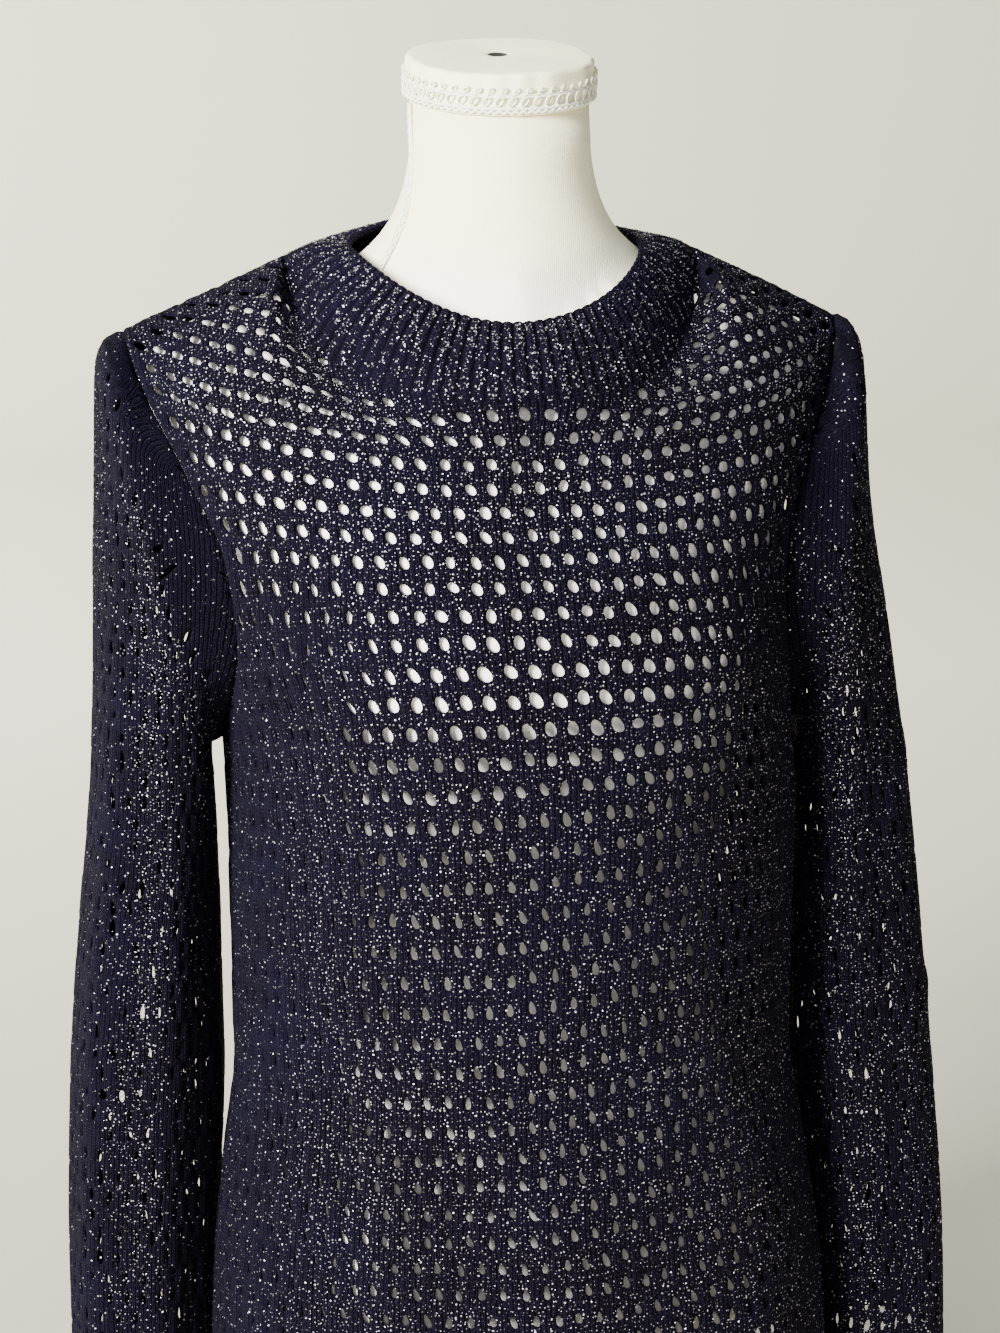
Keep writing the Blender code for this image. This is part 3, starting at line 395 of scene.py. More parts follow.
# neckband loops: the neckline seam and the free edge
def bandEdge(phi, which):
    turned = np.mod(phi + math.pi, 2 * math.pi) - math.pi
    front = np.abs(turned) <= math.pi / 2
    if which == "seam":
        near = np.where(front, np.abs(turned), math.pi - np.abs(turned))
        p = np.where(front[..., None], neckLine("front", near), neckLine("back", near))
        p[..., 0] *= np.where(turned < 0, -1, 1)
    else:
        c = np.cos(turned)
        midY = np.where(front, bandCut["innerFront"][0], bandCut["innerBack"][0])
        midZ = np.where(front, bandCut["innerFront"][1], bandCut["innerBack"][1])
        x = bandCut["innerHalf"] * np.sin(turned)
        y = bandCut["innerSide"][0] + (midY - bandCut["innerSide"][0]) * np.abs(c)
        z = bandCut["innerSide"][1] + (midZ - bandCut["innerSide"][1]) * np.abs(c) ** bandCut["innerPower"]
        p = np.stack([x, y, z], -1)
    p[..., 0] += leanAt(bodyLean, p[..., 2])
    return p


# neckband: straight from seam to free edge with a parabolic bulge
def bandPoint(phi, t):
    phi, t = np.broadcast_arrays(np.asarray(phi, float), np.asarray(t, float))
    seam = bandEdge(phi, "seam")
    free = bandEdge(phi, "free")
    awayX, awayY, awayZ = bandCut["away"]
    away = unitOf(np.stack([np.sin(phi) * awayX, np.cos(phi) * awayY, np.full_like(phi, awayZ)], -1))
    return seam + (free - seam) * t[..., None] + away * (bandCut["bulge"] * 4 * t * (1 - t))[..., None]


# neckband normals, out of a point below the neck
def bandNormal(phi, t):
    def core(p):
        c = np.zeros_like(p)
        c[..., 2] = coreLook["bandZ"]
        return c
    return stepNormal(bandPoint, phi, np.clip(t, normalLook["low"], normalLook["top"]), core)


# mesh object from arrays: faces as rows of corner indices, one UV map per name
def meshPiece(name, points, faces, uvMaps=None, smooth=True):
    mesh = bpy.data.meshes.new(name)
    count = faces.shape[1]
    mesh.vertices.add(len(points))
    mesh.vertices.foreach_set("co", np.ascontiguousarray(points, np.float32).ravel())
    mesh.loops.add(faces.size)
    mesh.loops.foreach_set("vertex_index", np.ascontiguousarray(faces, np.int32).ravel())
    mesh.polygons.add(len(faces))
    mesh.polygons.foreach_set("loop_start", np.arange(0, faces.size, count, dtype=np.int32))
    mesh.polygons.foreach_set("loop_total", np.full(len(faces), count, np.int32))
    mesh.update(calc_edges=True)
    mesh.validate()
    mesh.polygons.foreach_set("use_smooth", np.full(len(mesh.polygons), smooth))
    loopVerts = np.empty(len(mesh.loops), np.int32)
    mesh.loops.foreach_get("vertex_index", loopVerts)
    for mapName, uv in (uvMaps or {}).items():
        layer = mesh.uv_layers.new(name=mapName)
        layer.data.foreach_set("uv", np.ascontiguousarray(uv[loopVerts], np.float32).ravel())
    piece = bpy.data.objects.new(name, mesh)
    bpy.context.scene.collection.objects.link(piece)
    return piece


# the piece rides on the model's one body and takes a slot's finish
def dress(piece, material):
    piece.data.materials.append(material)
    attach(piece, "root")
    return piece


# faces turned so that most of them look along the given outward directions
def facesOut(points, faces, outward):
    a, b, c = points[faces[:, 0]], points[faces[:, 1]], points[faces[:, 2]]
    n = np.cross(b - a, c - a)
    facing = (n * outward[faces[:, 0]]).sum()
    return faces if facing > 0 else faces[:, ::-1]


# quads between rings of points that each close on themselves, the last ring to the first or not
def ringQuads(rings, around, closed=False):
    i = np.arange(rings if closed else rings - 1)[:, None]
    j = (i + 1) % rings
    k = np.arange(around)[None]
    k2 = (k + 1) % around
    return np.stack([i * around + k, i * around + k2, j * around + k2, j * around + k], -1).reshape(-1, 4)


# each quad as two triangles
def splitQuads(quads):
    return np.concatenate([quads[:, [0, 1, 2]], quads[:, [0, 2, 3]]])


# triangles of a closed body turned outwards: its signed volume, seen from a middle, is positive
def outwardTris(points, tris, middle):
    a, b, c = (points[tris[:, i]] - middle for i in range(3))
    return tris if (a * np.cross(b, c)).sum() >= 0 else tris[:, ::-1]


# how far short of a grid's count its last fractional place is kept
shortOfEnd = 1.000001


# straight-line value of a grid at fractional places, inside its last row and column
def gridAt(grid, i, j):
    i = np.clip(i, 0, grid.shape[0] - shortOfEnd)
    j = np.clip(j, 0, grid.shape[1] - shortOfEnd)
    a, b = np.floor(i).astype(int), np.floor(j).astype(int)
    s, t = i - a, j - b
    return (grid[a, b] * (1 - s) * (1 - t) + grid[a + 1, b] * s * (1 - t)
            + grid[a, b + 1] * (1 - s) * t + grid[a + 1, b + 1] * s * t)


netLook = dict(cellPitch=0.01276, rowPitch=0.0165, cells=19.5, holeHalf=0.0031, holeTall=0.0042,
               rimWide=0.0007, crown=0.0004, lipDepth=0.0009, backDepth=0.0016, wale=0.00025,
               hemRows=2, closed=0.22, wobble=0.07, lean=-0.24, leanWobble=0.13, moveX=0.035,
               moveY=0.030, bustSwell=0.055, bustAt=0.73, bustTall=0.06,
               closeLeft=(0.36, 0.56), closeRight=(0.52, 0.70), closeUp=(0.70, 0.83),
               spare=3, roomUp=0.01, rimDrop=0.4, plainRise=0.5, backGrow=0.6, reachGrow=2.2,
               edgeClear=0.0008)
# seam along an edge of the net: a low welt and a dip at the edge itself
seamLook = dict(rise=0.0007, at=0.004, wide=0.0022, dip=0.0008, dipWide=0.0016)
# height of a row of cells by its place up the cloth, the height that one row's bottom stands at,
# the top that the rows pass, and how far on the next row's height is read
rowHeights = ((0.00, 0.0165), (0.10, 0.0168), (0.22, 0.0178), (0.30, 0.0187), (0.38, 0.0185),
              (0.42, 0.0170), (0.44, 0.0172), (0.47, 0.0163), (0.49, 0.0153), (0.51, 0.0143),
              (0.53, 0.0135), (0.55, 0.0125), (0.575, 0.0130), (0.60, 0.0140), (0.90, 0.0140))
rowSteps = dict(anchor=0.604, top=0.80, down=0.008, up=0.007)


# bottoms of the rows up the cloth, stepped off both ways from the anchored row
def rowLevels():
    high, tall = zip(*rowHeights)
    down = [rowSteps["anchor"]]
    while down[-1] > 0:
        down.append(down[-1] - float(smoothTable(high, tall, down[-1] - rowSteps["down"])))
    up = [rowSteps["anchor"]]
    while up[-1] < rowSteps["top"]:
        up.append(up[-1] + float(smoothTable(high, tall, up[-1] + rowSteps["up"])))
    middles = np.array(down[::-1] + up[1:])
    edges = (middles[1:] + middles[:-1]) / 2
    edges = np.concatenate([[2 * edges[0] - edges[1]], edges])
    return edges - edges[0] * (edges[0] < 0), len(down) - 1


levels, anchorRow = rowLevels()
# which pairs of rows are shifted by half a cell, counted from the anchored row
netLook["turnedPair"] = (anchorRow - 1) // 2 % 2
netLook["pairStart"] = (anchorRow + 1) % 2
# steps of the tables of cloth lengths: half of a panel across, a panel up, its yoke up, and a
# sleeve around and up
mapSteps = dict(half=80, up=400, yoke=100, around=120, sleeve=240)
# slant of the front's rows: how much, and where up the body it comes and goes
slantLook = dict(share=0.065, start=(0.03, 0.22), end=(0.36, 0.50))


# running length of the cloth along one axis of a grid of points, from zero
def clothLengths(grid, axis):
    step = np.linalg.norm(np.diff(grid, axis=axis), axis=2)
    none = np.zeros((1, step.shape[1]) if axis == 0 else (step.shape[0], 1))
    return np.concatenate([none, np.cumsum(step, axis=axis)], axis=axis)


# tables of one panel that turn cloth lengths into its two parameters
def panelMaps(part):
    half = mapSteps["half"]
    uGrid = np.linspace(-1, 1, 2 * half + 1)
    vGrid = np.linspace(0, 1, mapSteps["up"] + 1)
    grid = bodyPoint(part, uGrid[None, :], vGrid[:, None])
    across = clothLengths(grid, 1)
    across = across - across[:, half:half + 1]
    up = clothLengths(grid, 0)
    uAt = np.stack([np.interp(np.where(uGrid < 0, -uGrid * row[0], uGrid * row[-1]), row, uGrid)
                    for row in across])
    yokeRow = int(round(bodyCut["yokeV"] * mapSteps["up"]))
    part01 = np.linspace(0, 1, mapSteps["yoke"] + 1)
    vAt = np.stack([np.interp(part01 * (col[-1] - col[yokeRow]), col[yokeRow:] - col[yokeRow],
                              vGrid[yokeRow:]) for col in up.T])
    return dict(vGrid=vGrid, left=-across[:, 0], right=across[:, -1], centreUp=up[:, half], uAt=uAt,
                vAt=vAt, yokeUp=up[yokeRow, half], above=up[-1] - up[yokeRow], uGrid=uGrid)


# slant of the net's rows up the body, as a share of the distance across
def rowSlant(part, b):
    if part == "back":
        return 0.0 * b
    return slantLook["share"] * easeStep(*slantLook["start"], b) * (1 - easeStep(*slantLook["end"], b))


# panel place: rows follow the body's rows up to the yoke, then run on up each column
def panelPlace(part, maps, x, y):
    b = np.interp(y, np.arange(len(levels)), levels)
    b = b + rowSlant(part, b) * x * netLook["cellPitch"]
    v = np.interp(b, maps["centreUp"], maps["vGrid"])
    v = np.where(b >= maps["yokeUp"], bodyCut["yokeV"], np.minimum(v, bodyCut["yokeV"]))
    v = np.maximum(v, 0)
    half = np.where(x < 0, np.interp(v, maps["vGrid"], maps["left"]),
                    np.interp(v, maps["vGrid"], maps["right"]))
    pit = np.interp(bodyCut["armpitV"], maps["vGrid"], maps["right"])
    full = netLook["cells"] * netLook["cellPitch"]
    a = x * netLook["cellPitch"] * np.where(v < bodyCut["armpitV"], half / full, pit / full)
    a = a * (1 + netLook["bustSwell"] * np.exp(-((v - netLook["bustAt"]) / netLook["bustTall"]) ** 2))
    share = a / half
    u = gridAt(maps["uAt"], v * mapSteps["up"], (np.clip(share, -1, 1) + 1) * mapSteps["half"])
    extra = np.maximum(b - maps["yokeUp"], 0)
    height = np.interp(u, maps["uGrid"], maps["above"])
    part01 = extra / height
    over = gridAt(maps["vAt"], (u + 1) * mapSteps["half"], np.clip(part01, 0, 1) * mapSteps["yoke"])
    v = np.where(extra > 0, over, v)
    inside = (np.abs(share) <= 1) & (part01 <= 1) & (b >= 0)
    edge = np.minimum(half - np.abs(a), np.where(extra > 0, height - extra, 1.0))
    edge = np.minimum(edge, np.where(extra > 0, 1.0, height + maps["yokeUp"] - b))
    return u, v, inside, edge


# sleeve tables: cloth length from the cuff up each column
def sleeveMaps(side):
    aGrid = np.linspace(0, 2 * math.pi, mapSteps["around"] + 1)
    sGrid = np.linspace(1, 0, mapSteps["sleeve"] + 1)
    up = clothLengths(sleevePoint(side, aGrid[None, :], sGrid[:, None]), 0)
    part01 = np.linspace(0, 1, mapSteps["sleeve"] + 1)
    sAt = np.stack([np.interp(part01 * col[-1], col, sGrid) for col in up.T])
    return dict(sAt=sAt, length=up[-1])


# sleeve place: columns run up the sleeve from the cuff until the armhole seam cuts them
def sleevePlace(maps, x, y):
    angle = np.mod(x / sleeveLook["around"], 1.0)
    length = np.interp(angle, np.linspace(0, 1, len(maps["length"])), maps["length"])
    b = y * sleeveLook["rowPitch"]
    part01 = b / length
    s = gridAt(maps["sAt"], angle * mapSteps["around"], np.clip(part01, 0, 1) * mapSteps["sleeve"])
    return angle * 2 * math.pi, s, (part01 <= 1) & (b >= 0), length - b


# part of a cell taken as nothing, and the least area of a triangle that is kept
tinyCell = 1e-6
leastArea = 2e-9
# places round a cell of the net, four to each side, and their directions
perSide = 4
ringCount = 4 * perSide
sideSteps = np.linspace(-0.5, 0.5, perSide + 1)[:perSide]
sideEnd = np.full(perSide, 0.5)
cellRing = np.concatenate([
    np.stack([sideSteps, -sideEnd], -1), np.stack([sideEnd, sideSteps], -1),
    np.stack([-sideSteps, sideEnd], -1), np.stack([-sideEnd, -sideSteps], -1)])


# half a cell's shift after every second row
def rowShift(row):
    pair = np.floor((row + netLook["pairStart"]) / 2).astype(int)
    return 0.5 * ((pair + netLook["turnedPair"]) % 2)


# random sizes for the holes of a net, rows by columns
def holeTable(look, shape, randomNumbers):
    return dict(wide=1 + look["wobble"] * randomNumbers.normal(size=shape),
                tall=1 + look["wobble"] * randomNumbers.normal(size=shape),
                lean=look["lean"] + look["leanWobble"] * randomNumbers.normal(size=shape),
                moveX=look["moveX"] * randomNumbers.normal(size=shape),
                moveY=look["moveY"] * randomNumbers.normal(size=shape))


# net of cells: each has a shared square boundary, a crowned cord, a rim and a rolled lip; a hole's
# outline is an ellipse that narrows by its taper and leans by its slant
def netMesh(look, shape, reach, randomNumbers, place, surface, normal, openness, xOf, seamShare):
    row, columnIndex = (index.ravel() for index in np.indices(shape))
    cellX = columnIndex - reach + rowShift(row)
    cellY = row + 0.5
    holes = holeTable(look, shape, randomNumbers)
    boundX = cellX[:, None] + cellRing[None, :, 0]
    boundY = cellY[:, None] + cellRing[None, :, 1]
    keys = np.stack([np.round(xOf(boundX) * perSide), np.round(boundY * perSide)], -1)
    _, first, back = np.unique(keys.astype(int).reshape(-1, 2), axis=0, return_index=True,
                               return_inverse=True)
    back = back.reshape(len(cellX), ringCount)
    bx, by = boundX.ravel()[first], boundY.ravel()[first]
    bu, bv, bIn, bEdge = place(bx, by)
    angle = np.arctan2(cellRing[:, 1] * look["rowPitch"], cellRing[:, 0] * look["cellPitch"])
    wide, tall, taper = openness(cellX, cellY)
    wide = wide * holes["wide"][row, columnIndex] / look["cellPitch"]
    tall = tall * holes["tall"][row, columnIndex] / look["rowPitch"]
    lean = holes["lean"][row, columnIndex]
    midX = cellX + holes["moveX"][row, columnIndex]
    midY = cellY + holes["moveY"][row, columnIndex]

    def outline(grow):
        hx = (wide + grow / look["cellPitch"])[:, None]
        hy = (tall + grow / look["rowPitch"])[:, None]
        ox = hx * np.cos(angle)[None] * (1 - taper[:, None] * np.sin(angle)[None])
        oy = hy * np.sin(angle)[None]
        return midX[:, None] + ox + oy * lean[:, None], midY[:, None] + oy

    _, _, rimIn, rimEdge = place(*outline(look["rimWide"] * look["reachGrow"]))
    isOpen = (rimIn.all(1) & (rimEdge.min(1) > look["edgeClear"]) & (cellY > look["hemRows"])
              & (wide > 0))
    holed = np.where(isOpen)[0]
    plain = np.where(bIn[back].any(1) & ~isOpen)[0]
    # heights off the surface: wales stand proud, bars lie lower
    beside = xOf(bx - rowShift(np.floor(by + tinyCell)) - 0.5)
    pieces = [(bu, bv, look["crown"] + look["wale"] * np.cos(2 * math.pi * beside), bEdge, bx, by)]

    def addRing(x, y, rise):
        u, v, _, edge = place(x, y)
        pieces.append((u.ravel(), v.ravel(), np.full(u.size, rise), edge.ravel(), x.ravel(), y.ravel()))

    for grow, rise in ((look["rimWide"], look["crown"] * look["rimDrop"]), (0.0, -look["lipDepth"]),
                       (look["rimWide"] * look["backGrow"], -look["backDepth"])):
        x, y = outline(grow)
        addRing(x[holed], y[holed], rise)
    # plain cells: a ring half way in and a middle
    x, y = boundX[plain], boundY[plain]
    toX, toY = x.mean(1, keepdims=True) - x, y.mean(1, keepdims=True) - y
    addRing(x + toX * 0.5, y + toY * 0.5, look["crown"] * look["plainRise"])
    addRing((x + toX)[:, :1], (y + toY)[:, :1], look["crown"] * look["plainRise"])
    u, v, rise, edge, patternX, patternY = (np.concatenate(part) for part in zip(*pieces))
    pattern = np.stack([patternX, patternY], -1)
    n = normal(u, v)
    edge = np.maximum(edge, 0)
    seam = (seamLook["rise"] * np.exp(-((edge - seamLook["at"]) / seamLook["wide"]) ** 2)
            - seamLook["dip"] * np.exp(-(edge / seamLook["dipWide"]) ** 2))
    points = surface(u, v) + n * (rise + seam * seamShare(u, v))[:, None]
    # triangles between the rings
    k = np.arange(ringCount)
    k2 = (k + 1) % ringCount
    base = len(first) + 3 * len(holed) * ringCount
    each = np.arange(len(holed))[:, None] * ringCount + k[None]
    rings = [back[holed]] + [len(first) + i * len(holed) * ringCount + each for i in range(3)]
    outer = back[plain]
    inner = base + np.arange(len(plain))[:, None] * ringCount + k[None]
    centre = base + len(plain) * ringCount + np.arange(len(plain))[:, None] + 0 * k[None]
    faces = []
    for a, b in [*zip(rings[:-1], rings[1:]), (outer, inner)]:
        faces.append(np.stack([a[:, k], a[:, k2], b[:, k2]], -1).reshape(-1, 3))
        faces.append(np.stack([a[:, k], b[:, k2], b[:, k]], -1).reshape(-1, 3))
    faces.append(np.stack([inner[:, k], inner[:, k2], centre[:, k]], -1).reshape(-1, 3))
    faces = np.concatenate(faces)
    a, b, c = points[faces[:, 0]], points[faces[:, 1]], points[faces[:, 2]]
    area = np.linalg.norm(np.cross(b - a, c - a), axis=1) / 2
    faces = facesOut(points, faces[area > leastArea], n)
    used = np.unique(faces)
    renumber = np.full(len(points), -1)
    renumber[used] = np.arange(len(used))
    kept = dict(wide=wide, tall=tall, lean=lean, taper=taper, midX=midX, midY=midY, open=isOpen)
    kept = {name: values.reshape(shape) for name, values in kept.items()}
    return points[used], renumber[faces], pattern[used], n[used], kept


# where a place in cell units falls inside an open hole, its ellipse grown a little
def inHole(kept, x, y, column, row):
    row = np.clip(row, 0, kept["open"].shape[0] - 1)
    own = {name: values[row, column] for name, values in kept.items()}
    oy = (y - own["midY"]) / np.maximum(own["tall"], tinyCell)
    ox = x - own["midX"] - oy * own["tall"] * own["lean"]
    ox = ox / np.maximum(own["wide"] * (1 - own["taper"] * oy), tinyCell)
    return own["open"] & (ox ** 2 + oy ** 2 < fleckLook["clear"] ** 2)


fleckLook = dict(across=5, up=6, small=0.00032, large=0.00072, rise=0.30, tilt=0.28, lift=0.0003,
                 corners=5, spread=0.75, power=1.6, clear=1.18, edgeClear=0.001)


# places for flecks: a lattice finer than the cells with every place moved at random
def fleckPlaces(columns, rows, randomNumbers):
    nx, ny = int(columns * fleckLook["across"]), int(rows * fleckLook["up"])
    gx, gy = np.meshgrid(np.arange(nx), np.arange(ny))
    x, y = (((g + 0.5 + fleckLook["spread"] * (randomNumbers.random(g.shape) - 0.5)) / per).ravel()
            for g, per in ((gx, fleckLook["across"]), (gy, fleckLook["up"])))
    return x, y


# flecks: small round chips of five corners, bent a little and tilted at random on the cloth
def fleckMesh(points, normals, randomNumbers):
    count, corners = len(points), fleckLook["corners"]
    tilt = randomNumbers.normal(size=(count, 3)) * fleckLook["tilt"]
    n = unitOf(normals + tilt)
    side = unitOf(np.cross(n, unitOf(randomNumbers.normal(size=(count, 3)))))
    other = np.cross(n, side)
    share = randomNumbers.random(count) ** fleckLook["power"]
    size = (fleckLook["small"] + (fleckLook["large"] - fleckLook["small"]) * share)[:, None, None]
    a = (np.arange(corners) * 2 * math.pi / corners)[None, :, None]
    ring = (side[:, None] * np.cos(a) + other[:, None] * np.sin(a)
            + n[:, None] * fleckLook["rise"] * np.cos(2 * a))
    places = (points + normals * fleckLook["lift"])[:, None] + ring * size
    i = np.arange(count)[:, None] * corners
    faces = np.concatenate([i + np.array([[0, k, k + 1]]) for k in range(1, corners - 1)])
    return places.reshape(-1, 3), faces


# flecks as one piece on a node, made and named after the piece that they lie on
def makeFlecks(name, points, normals, randomNumbers):
    spots, chips = fleckMesh(points, normals, randomNumbers)
    return dress(meshPiece(name + "Flecks", spots, chips, None, False), fleckMetal)


# new node with values for its settings and its sockets, and an input from another node
def addNode(tree, kind, settings=None, values=None, source=None, into=0):
    node = tree.nodes.new(kind)
    for name, value in (settings or {}).items():
        setattr(node, name, value)
    for name, value in (values or {}).items():
        node.inputs[name].default_value = value
    if source is not None:
        tree.links.new(source, node.inputs[into])
    return node


# a socket's value: a link, a number or a colour
def setInput(tree, socket, value):
    if isinstance(value, (int, float)):
        socket.default_value = value
    elif isinstance(value, tuple):
        socket.default_value = (*value, 1)
    else:
        tree.links.new(value, socket)


# math node over sockets or numbers
def mathNode(tree, operation, a, b=None):
    node = addNode(tree, "ShaderNodeMath", dict(operation=operation))
    for i, value in enumerate((a, b)):
        if value is not None:
            setInput(tree, node.inputs[i], value)
    return node.outputs[0]


# colour between two colours by a factor
def colourMix(tree, factor, a, b):
    node = addNode(tree, "ShaderNodeMix", dict(data_type="RGBA"))
    for index, value in ((0, factor), (6, a), (7, b)):
        setInput(tree, node.inputs[index], value)
    return node.outputs[2]


# value remapped between two limits
def rangeNode(tree, value, low, high, toLow=0.0, toHigh=1.0):
    limits = {"From Min": low, "From Max": high, "To Min": toLow, "To Max": toHigh}
    return addNode(tree, "ShaderNodeMapRange", None, limits, value, "Value").outputs["Result"]


# parts of a vector socket
def partsOf(tree, vector):
    return addNode(tree, "ShaderNodeSeparateXYZ", source=vector).outputs


# noise at a place
def noiseAt(tree, place, scale, detail):
    values = {"Scale": float(scale), "Detail": float(detail)}
    return addNode(tree, "ShaderNodeTexNoise", None, values, place, "Vector").outputs["Fac"]


# waves at a place, in bands or rings
def waveAt(tree, place, settings, values):
    return addNode(tree, "ShaderNodeTexWave", settings, values, place, "Vector").outputs["Fac"]


# bump of a height, over an earlier bump if there is one
def bumpOf(tree, height, strength, distance, below=None):
    node = addNode(tree, "ShaderNodeBump", None, {"Strength": strength, "Distance": distance}, height,
                   "Height")
    if below is not None:
        tree.links.new(below, node.inputs["Normal"])
    return node.outputs["Normal"]


# new material, with its tree and its object place
def newMaterial(name):
    material = bpy.data.materials.new(name)
    material.use_nodes = True
    tree = material.node_tree
    return material, tree, addNode(tree, "ShaderNodeTexCoord").outputs["Object"]


# values and links of a material's shader, by the names of its inputs
def setShader(material, values):
    tree = material.node_tree
    shader = tree.nodes["Principled BSDF"]
    for name, value in values.items():
        setInput(tree, shader.inputs[name], value)


# the knit's darkest colour is painted shade for the stitches' grooves
knitLook = dict(grooveShade=(0.0002, 0.0001, 0.0006), light=(0.0098, 0.0064, 0.0200),
                blue=(0.0038, 0.0027, 0.0140), wales=4.0, courses=7.0, slope=0.9, bump=0.0014,
                wobbleScale=420, wobble=0.5, groove=0.22, strand=0.12, strandLeast=0.45, loops=0.6,
                fineScale=900, fineRange=(0.40, 0.62, 0.25, 1.0), fineBump=0.35,
                broadScale=14, broadRange=(0.42, 0.68, 0.0, 0.30),
                shader={"Roughness": 0.80, "Specular IOR Level": 0.03, "Sheen Weight": 0.015,
                        "Sheen Roughness": 0.45, "Sheen Tint": (0.45, 0.45, 0.75)})


# knit: chevron stitches from the net's own places, lighter on their crowns and near-black in their
# grooves as painted shade, with a fine random tone
def knitMaterial(name, wales, courses):
    material, tree, place = newMaterial(name)
    uv = addNode(tree, "ShaderNodeUVMap", dict(uv_map="netPlace")).outputs["UV"]
    own = partsOf(tree, uv)
    noise = noiseAt(tree, place, knitLook["wobbleScale"], 2)
    wobble = mathNode(tree, "MULTIPLY", mathNode(tree, "SUBTRACT", noise, 0.5), knitLook["wobble"])
    wale = mathNode(tree, "ADD", mathNode(tree, "MULTIPLY", own["X"], wales), wobble)
    across = mathNode(tree, "FRACT", wale)
    fromMiddle = mathNode(tree, "ABSOLUTE", mathNode(tree, "SUBTRACT", across, 0.5))
    slanted = mathNode(tree, "ADD", mathNode(tree, "MULTIPLY", own["Y"], courses),
                       mathNode(tree, "MULTIPLY", fromMiddle, knitLook["slope"]))
    wave = mathNode(tree, "SINE", mathNode(tree, "MULTIPLY", slanted, 2 * math.pi))
    loops = mathNode(tree, "ADD", mathNode(tree, "MULTIPLY", wave, 0.5), 0.5)
    body = mathNode(tree, "MULTIPLY", rangeNode(tree, fromMiddle, 0.5, knitLook["groove"]),
                    rangeNode(tree, fromMiddle, 0.0, knitLook["strand"], knitLook["strandLeast"], 1.0))
    height = mathNode(tree, "MULTIPLY", body, mathNode(
        tree, "ADD", mathNode(tree, "MULTIPLY", loops, knitLook["loops"]), 1 - knitLook["loops"]))
    fine = noiseAt(tree, place, knitLook["fineScale"], 2)
    # painted shade in the grooves by the stitch height, times a fine random tone of the yarn
    grooveShadeAndTone = mathNode(tree, "MULTIPLY", height, rangeNode(tree, fine, *knitLook["fineRange"]))
    blueness = rangeNode(tree, noiseAt(tree, place, knitLook["broadScale"], 3), *knitLook["broadRange"])
    colour = colourMix(tree, blueness, colourMix(tree, grooveShadeAndTone, knitLook["grooveShade"], knitLook["light"]),
                       knitLook["blue"])
    tall = mathNode(tree, "ADD", height, mathNode(tree, "MULTIPLY", fine, knitLook["fineBump"]))
    setShader(material, {"Base Color": colour, "Normal": bumpOf(tree, tall, 1.0, knitLook["bump"]),
                         **knitLook["shader"]})
    return material


fleckColours = dict(dim=(0.012, 0.010, 0.018), bright=(0.52, 0.51, 0.57), scale=800,
                    chip=(0.45, 0.72), shader={"Metallic": 0.75, "Roughness": 0.45})


# flecks: pale metal whose brightness changes from chip to chip
def fleckMaterial(name):
    material, tree, place = newMaterial(name)
    chip = rangeNode(tree, noiseAt(tree, place, fleckColours["scale"], 0), *fleckColours["chip"])
    colour = colourMix(tree, chip, fleckColours["dim"], fleckColours["bright"])
    setShader(material, {"Base Color": colour, **fleckColours["shader"]})
    return material


clothKnit = knitMaterial("clothKnit", knitLook["wales"], knitLook["courses"])
fleckMetal = fleckMaterial("fleckMetal")


# opening of the panels' holes: shares of their width and height, with where up the cloth and how far
# across it each share comes and goes
openingLook = dict(wide=0.87, wideBust=0.20, wideLow=-0.25, wideShoulder=0.30, tall=0.90, tallChest=0.06,
                   tallBust=0.08, tallLow=-0.06, tallShoulder=-0.26, tallSide=0.15, taper=0.08,
                   taperLow=0.26, taperBust=0.10, chest=(0.72, 0.84), bustAt=0.69, bustTall=0.07,
                   bustWide=0.55, low=(0.55, 0.66), shoulderFrom=(0.22, 0.50), shoulderUp=(0.80, 0.90))


# opening of the body's holes: rounder on the chest, tall on the bust, narrow below, and drawn
# almost shut where the cloth bunches at the sides below the chest
def panelOpening(part, maps):
    look = openingLook

    def opening(x, y):
        u, v, _, _ = panelPlace(part, maps, x, y)
        right = netLook["closeRight"]
        left = right if part == "back" else netLook["closeLeft"]
        side = np.where(u < 0, easeStep(*left, -u), easeStep(*right, u))
        side = side * (1 - easeStep(*netLook["closeUp"], v))
        chest = easeStep(*look["chest"], v)
        bust = (np.exp(-((v - look["bustAt"]) / look["bustTall"]) ** 2)
                * np.exp(-(u / look["bustWide"]) ** 2))
        low = 1 - easeStep(*look["low"], v)
        shoulder = easeStep(*look["shoulderFrom"], np.abs(u)) * easeStep(*look["shoulderUp"], v)
        wide = netLook["holeHalf"] * (look["wide"] + look["wideBust"] * bust + look["wideLow"] * low
                                      + look["wideShoulder"] * shoulder)
        wide = wide * (1 - (1 - netLook["closed"]) * side)
        tall = netLook["holeTall"] * (look["tall"] + look["tallChest"] * chest + look["tallBust"] * bust
                                      + look["tallLow"] * low + look["tallShoulder"] * shoulder)
        tall = tall * (1 - look["tallSide"] * side)
        return wide, tall, look["taper"] + look["taperLow"] * low + look["taperBust"] * bust
    return opening


# where the panels' flecks thin out, at the sides below the chest and on the back, where the seam's
# dip eases, and the room round the flat map
panelLook = dict(thin=0.60, thinAcross=(0.50, 0.75), thinUp=(0.70, 0.85), backShare=0.75,
                 seamUp=(0.90, 0.96), pastTip=0.10, mapShare=0.96, mapStart=0.02)


# how much of the seam's dip shows: little under the neckband, all of it at the other edges
def panelSeam(u, v):
    return 1 - easeStep(*panelLook["seamUp"], v) * (np.abs(u) < bodyCut["neckTipU"] + panelLook["pastTip"])


